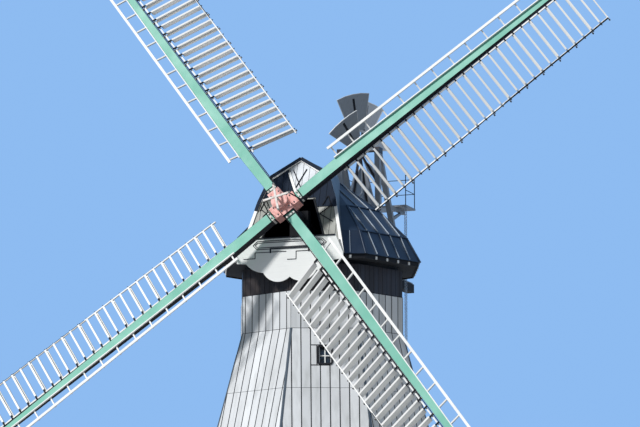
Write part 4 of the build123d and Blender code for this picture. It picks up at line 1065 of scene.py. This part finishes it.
class MILL_OT_roof_trim(MillOperator):
    """Cap the hips and hang the blocks under the eaves"""

    bl_idname = "mill.roof_trim"
    bl_label = "Roof trim"

    def execute(self, context):
        hips = []
        for number in range(SIDES):
            spots = [self.corner(number, *ring) for ring in ROOF_RINGS]
            for low, high in zip(spots, spots[1:]):
                if abs(low.x) > HIP_LIMITS[0] or low.y > HIP_LIMITS[1]:
                    hips.append(bar(low, high, *HIP_BAR[:2], bevel=HIP_BAR[2]))
        for ring in ROOF_RINGS[1:3]:
            for number in range(SIDES):
                if number not in GABLE_FACETS:
                    ends = [self.corner(corner, *ring) for corner in (number, number + 1)]
                    hips.append(bar(*ends, *RING_BAR[:2], bevel=RING_BAR[2]))
        bpy.ops.mesh.primitive_uv_sphere_add(segments=20, ring_count=12, radius=FINIAL[0],
                                             location=(0, 0, FINIAL[1]))
        hips.append(placed(bpy.context.object, Matrix.Identity(4)))
        done(joined("roof_caps", hips), "cap", "roof_sheet", "roof_sheet")
        blocks = []
        half = EAVES_RADIUS * FACET_COS * FACET_TAN
        for number in range(SIDES):
            place = facet_frame(number, EAVES_FOOT, EAVES_RADIUS)
            for spot in lines_between(-half + 0.1, half - 0.1, EAVES_PITCH):
                point = place @ Vector((spot, 0, 0))
                behind = point.y > EAVES_LIMITS[0] and abs(point.x) < EAVES_LIMITS[1]
                if point.y > -EAVES_LIMITS[0] and not behind:
                    blocks.append(placed(block(EAVES_BLOCK, (spot, 0.045, 0.012), 0.004), place))
        done(joined("eaves_blocks", blocks), "cap", "grey_wood", "white_wood")
        return {"FINISHED"}

    def corner(self, number, radius, height):
        angle = math.radians(360 / SIDES * number)
        return Vector((radius * math.cos(angle), radius * math.sin(angle), height))


class MILL_OT_fan_trim(MillOperator):
    """Fix a spar and a pale edge on each blade of the fan"""

    bl_idname = "mill.fan_trim"
    bl_label = "Fan trim"

    def execute(self, context):
        fan = turn_frame(FAN_CENTRE, (0, 1, 0), (1, 0, 0))
        middle = BLADE_FACE + BLADE_THICK / 2
        thick = BLADE_THICK + 0.008
        inner, outer = BLADE_REACH
        near, far = (width / 2 for width in BLADE_WIDTHS)
        edge = [(inner, near), (outer, far), (outer + 0.062, far / 2), (outer + 0.08, 0)]
        edge += [(x, -y) for x, y in reversed(edge[:-1])]
        spars, edges = [], []
        for number in range(FAN_BLADES):
            turn = Matrix.Rotation(math.radians(FAN_PHASE + 360 / FAN_BLADES * number), 4, "Z")
            blade = fan @ turn @ Matrix.Rotation(-FAN_PITCH, 4, "X")
            spar = bar((inner + 0.1, 0, middle), (outer - 0.06, 0, middle), 0.075, thick)
            spars.append(placed(spar, blade))
            for start, end in zip(edge, edge[1:]):
                rim = bar((*start, middle), (*end, middle), 0.022, thick)
                edges.append(placed(rim, blade))
        done(joined("fan_spars", spars), "fan", "grey_wood", "black")
        done(joined("fan_edges", edges), "fan", "grey_wood", "pale_edge")
        return {"FINISHED"}


class MILL_OT_decks(MillOperator):
    """Lay the boards of the fan stage and of the platform"""

    bl_idname = "mill.decks"
    bl_label = "Decks"

    def execute(self, context):
        decks = []
        for half, front, back, top in (STAGE, PLATFORM):
            outline = [(-half, front), (half, front), (half, back), (-half, back)]
            sheet = panel(outline, DECK_BOARD, 0.012, 0.006, DECK_SEED)
            decks.append(placed(sheet, Matrix.Translation((0, 0, top))))
        done(joined("deck_boards", decks), "cap", "grey_wood", "grey_wood", "board_joint")
        foot = PLATFORM[3]
        rods = [rod((*spot, foot), (*spot, foot + RAIL_LEVELS[1]), 0.015) for spot in RAIL_CORNERS]
        for level in RAIL_LEVELS:
            for corners in zip(RAIL_CORNERS, RAIL_CORNERS[1:]):
                ends = [(*spot, foot + level) for spot in corners]
                rods.append(rod(*ends, 0.012))
        done(joined("platform_rods", rods), "cap", "grey_wood", "black", replaces=("platform_rail",))
        return {"FINISHED"}


class MILL_OT_chains(MillOperator):
    """Hang the control chains, link by link"""

    bl_idname = "mill.chains"
    bl_label = "Chains"

    def execute(self, context):
        deselect()
        pitch, long, wide, wire = 0.055, 0.036, 0.021, 0.006
        bpy.ops.mesh.primitive_torus_add(major_segments=10, minor_segments=5, major_radius=1,
                                         minor_radius=wire / wide)
        link = named(bpy.context.object, "chains")
        link.data.transform(Matrix.Diagonal((wide, long, wide, 1)))
        link.data.transform(Matrix.Rotation(math.radians(90), 4, "X"))
        places = []
        for x, y in CHAIN_PLACES:
            for number in range(int(CHAIN_LENGTH / pitch)):
                spot = Matrix.Translation((x, y, CHAIN_TOP - long - pitch * number))
                places.append(spot @ Matrix.Rotation(math.radians(90 * (number % 2)), 4, "Z"))
        done(copies(link, places), "cap", "chain", "chain", replaces=("control_chains",))
        return {"FINISHED"}


class MILL_OT_door(MillOperator):
    """Board the door and hang it on strap hinges"""

    bl_idname = "mill.door"
    bl_label = "Door"

    def execute(self, context):
        place = facet_frame(DOOR_FACET, THRESHOLD, BASE_RADIUS) @ Matrix.Translation((0, 0, DOOR_FACE))
        half, high = DOOR_SIZE[0] / 2 - DOOR_INSET[0], DOOR_SIZE[1] - DOOR_INSET[1]
        outline = [(-half, 0.005), (half, 0.005), (half, high), (-half, high)]
        sheet = placed(panel(outline, DOOR_BOARD, 0.012, 0.014, DOOR_SEED), place)
        done(named(sheet, "door_boards"), "tower", "green_wood", "green_wood", "dark_joint")
        irons = [block(HINGE_SIZE, (-0.09, rise, 0.022), 0.004) for rise in HINGE_RISES]
        irons.append(rod((*KNOB_PLACE, 0.014), (*KNOB_PLACE, 0.06), 0.028, 12))
        irons = [placed(iron, place) for iron in irons]
        done(joined("door_irons", irons), "tower", "grey_iron", "black")
        return {"FINISHED"}


class MILL_OT_stage(MillOperator):
    """Set the floor, the light and the camera"""

    bl_idname = "mill.stage"
    bl_label = "Stage"

    def execute(self, context):
        sizes = context.scene.mill_sizes
        self.floor()
        self.world(context, sizes.world_light)
        self.lamp(context, "Main light", sizes.sun_light, MAIN_TOWARDS, MAIN_SPREAD)
        self.lamp(context, "Fill light", FILL_STRENGTH, FILL_TOWARDS, FILL_SPREAD)
        self.camera(context)
        context.scene.view_settings.view_transform = "Standard"
        return {"FINISHED"}

    def floor(self):
        deselect()
        bpy.ops.mesh.primitive_circle_add(vertices=96, radius=FLOOR_RADIUS, fill_type="NGON",
                                          location=(0, 0, -0.002))
        floor = bpy.context.object
        floor.name = "floor"
        floor.visible_diffuse = False
        paint = Paint("floor")
        floor.data.materials.append(paint.finish((0.72, 0.73, 0.74), 0.9))

    def world(self, context, strength):
        """Soft light on the mill, and a sky that the camera, glossy and clear surfaces see."""
        world = bpy.data.worlds.new("Studio")
        context.scene.world = world
        world.use_nodes = True
        tree = world.node_tree
        back = tree.nodes["Background"]
        back.inputs["Color"].default_value = WORLD_COLOUR
        back.inputs["Strength"].default_value = strength
        seen = tree.nodes.new("ShaderNodeBackground")
        seen.inputs["Color"].default_value = SEEN_COLOUR
        path = tree.nodes.new("ShaderNodeLightPath")
        share = path.outputs["Is Camera Ray"]
        for ray in ("Is Glossy Ray", "Is Transmission Ray"):
            either = tree.nodes.new("ShaderNodeMath")
            either.operation = "MAXIMUM"
            tree.links.new(share, either.inputs[0])
            tree.links.new(path.outputs[ray], either.inputs[1])
            share = either.outputs[0]
        mix = tree.nodes.new("ShaderNodeMixShader")
        tree.links.new(share, mix.inputs[0])
        tree.links.new(back.outputs[0], mix.inputs[1])
        tree.links.new(seen.outputs[0], mix.inputs[2])
        tree.links.new(mix.outputs[0], tree.nodes["World Output"].inputs["Surface"])

    def lamp(self, context, name, strength, towards, spread):
        light = bpy.data.lights.new(name, "SUN")
        light.energy = strength
        light.angle = math.radians(spread)
        lamp = bpy.data.objects.new(name, light)
        context.scene.collection.objects.link(lamp)
        lamp.rotation_euler = Vector(towards).to_track_quat("Z", "Y").to_euler()
        lamp.location = Vector(towards) * 40

    def camera(self, context):
        lens = bpy.data.cameras.new("Photo camera")
        lens.lens = PHOTO_LENS
        lens.sensor_width = 36
        lens.clip_end = 1000
        camera = bpy.data.objects.new("Photo camera", lens)
        context.scene.collection.objects.link(camera)
        right = Vector((math.cos(PHOTO_AZIMUTH), math.sin(PHOTO_AZIMUTH), 0))
        ahead = Vector((-math.sin(PHOTO_AZIMUTH) * math.cos(PHOTO_RISE),
                        math.cos(PHOTO_AZIMUTH) * math.cos(PHOTO_RISE), math.sin(PHOTO_RISE)))
        above = right.cross(ahead)
        place = HUB - ahead * PHOTO_DISTANCE + right * PHOTO_SHIFT[0] + above * PHOTO_SHIFT[1]
        camera.matrix_world = (Matrix.Translation(place)
                               @ Matrix((right, above, -ahead)).transposed().to_4x4())
        context.scene.camera = camera


PIECES = (MILL_OT_materials, MILL_OT_tower_boards, MILL_OT_band_boards, MILL_OT_brickwork,
          MILL_OT_roof_seams, MILL_OT_roof_trim, MILL_OT_gable, MILL_OT_front_board, MILL_OT_sail_gear,
          MILL_OT_fan_trim, MILL_OT_decks, MILL_OT_chains, MILL_OT_door, MILL_OT_stage)


class MILL_PT_panel(bpy.types.Panel):
    bl_idname = "MILL_PT_panel"
    bl_label = "Windmill"
    bl_space_type = "VIEW_3D"
    bl_region_type = "UI"
    bl_category = "Windmill"

    def draw(self, context):
        for piece in PIECES:
            self.layout.operator(piece.bl_idname)


CLASSES = (MillColours, MillSizes, *PIECES, MILL_PT_panel)


def register():
    for cls in CLASSES:
        bpy.utils.register_class(cls)
    bpy.types.Scene.mill_colours = PointerProperty(type=MillColours)
    bpy.types.Scene.mill_sizes = PointerProperty(type=MillSizes)


def unregister():
    del bpy.types.Scene.mill_sizes
    del bpy.types.Scene.mill_colours
    for cls in reversed(CLASSES):
        bpy.utils.unregister_class(cls)


def main():
    register()
    for piece in PIECES:
        group, name = piece.bl_idname.split(".")
        getattr(getattr(bpy.ops, group), name)()


if __name__ == "__main__":
    main()
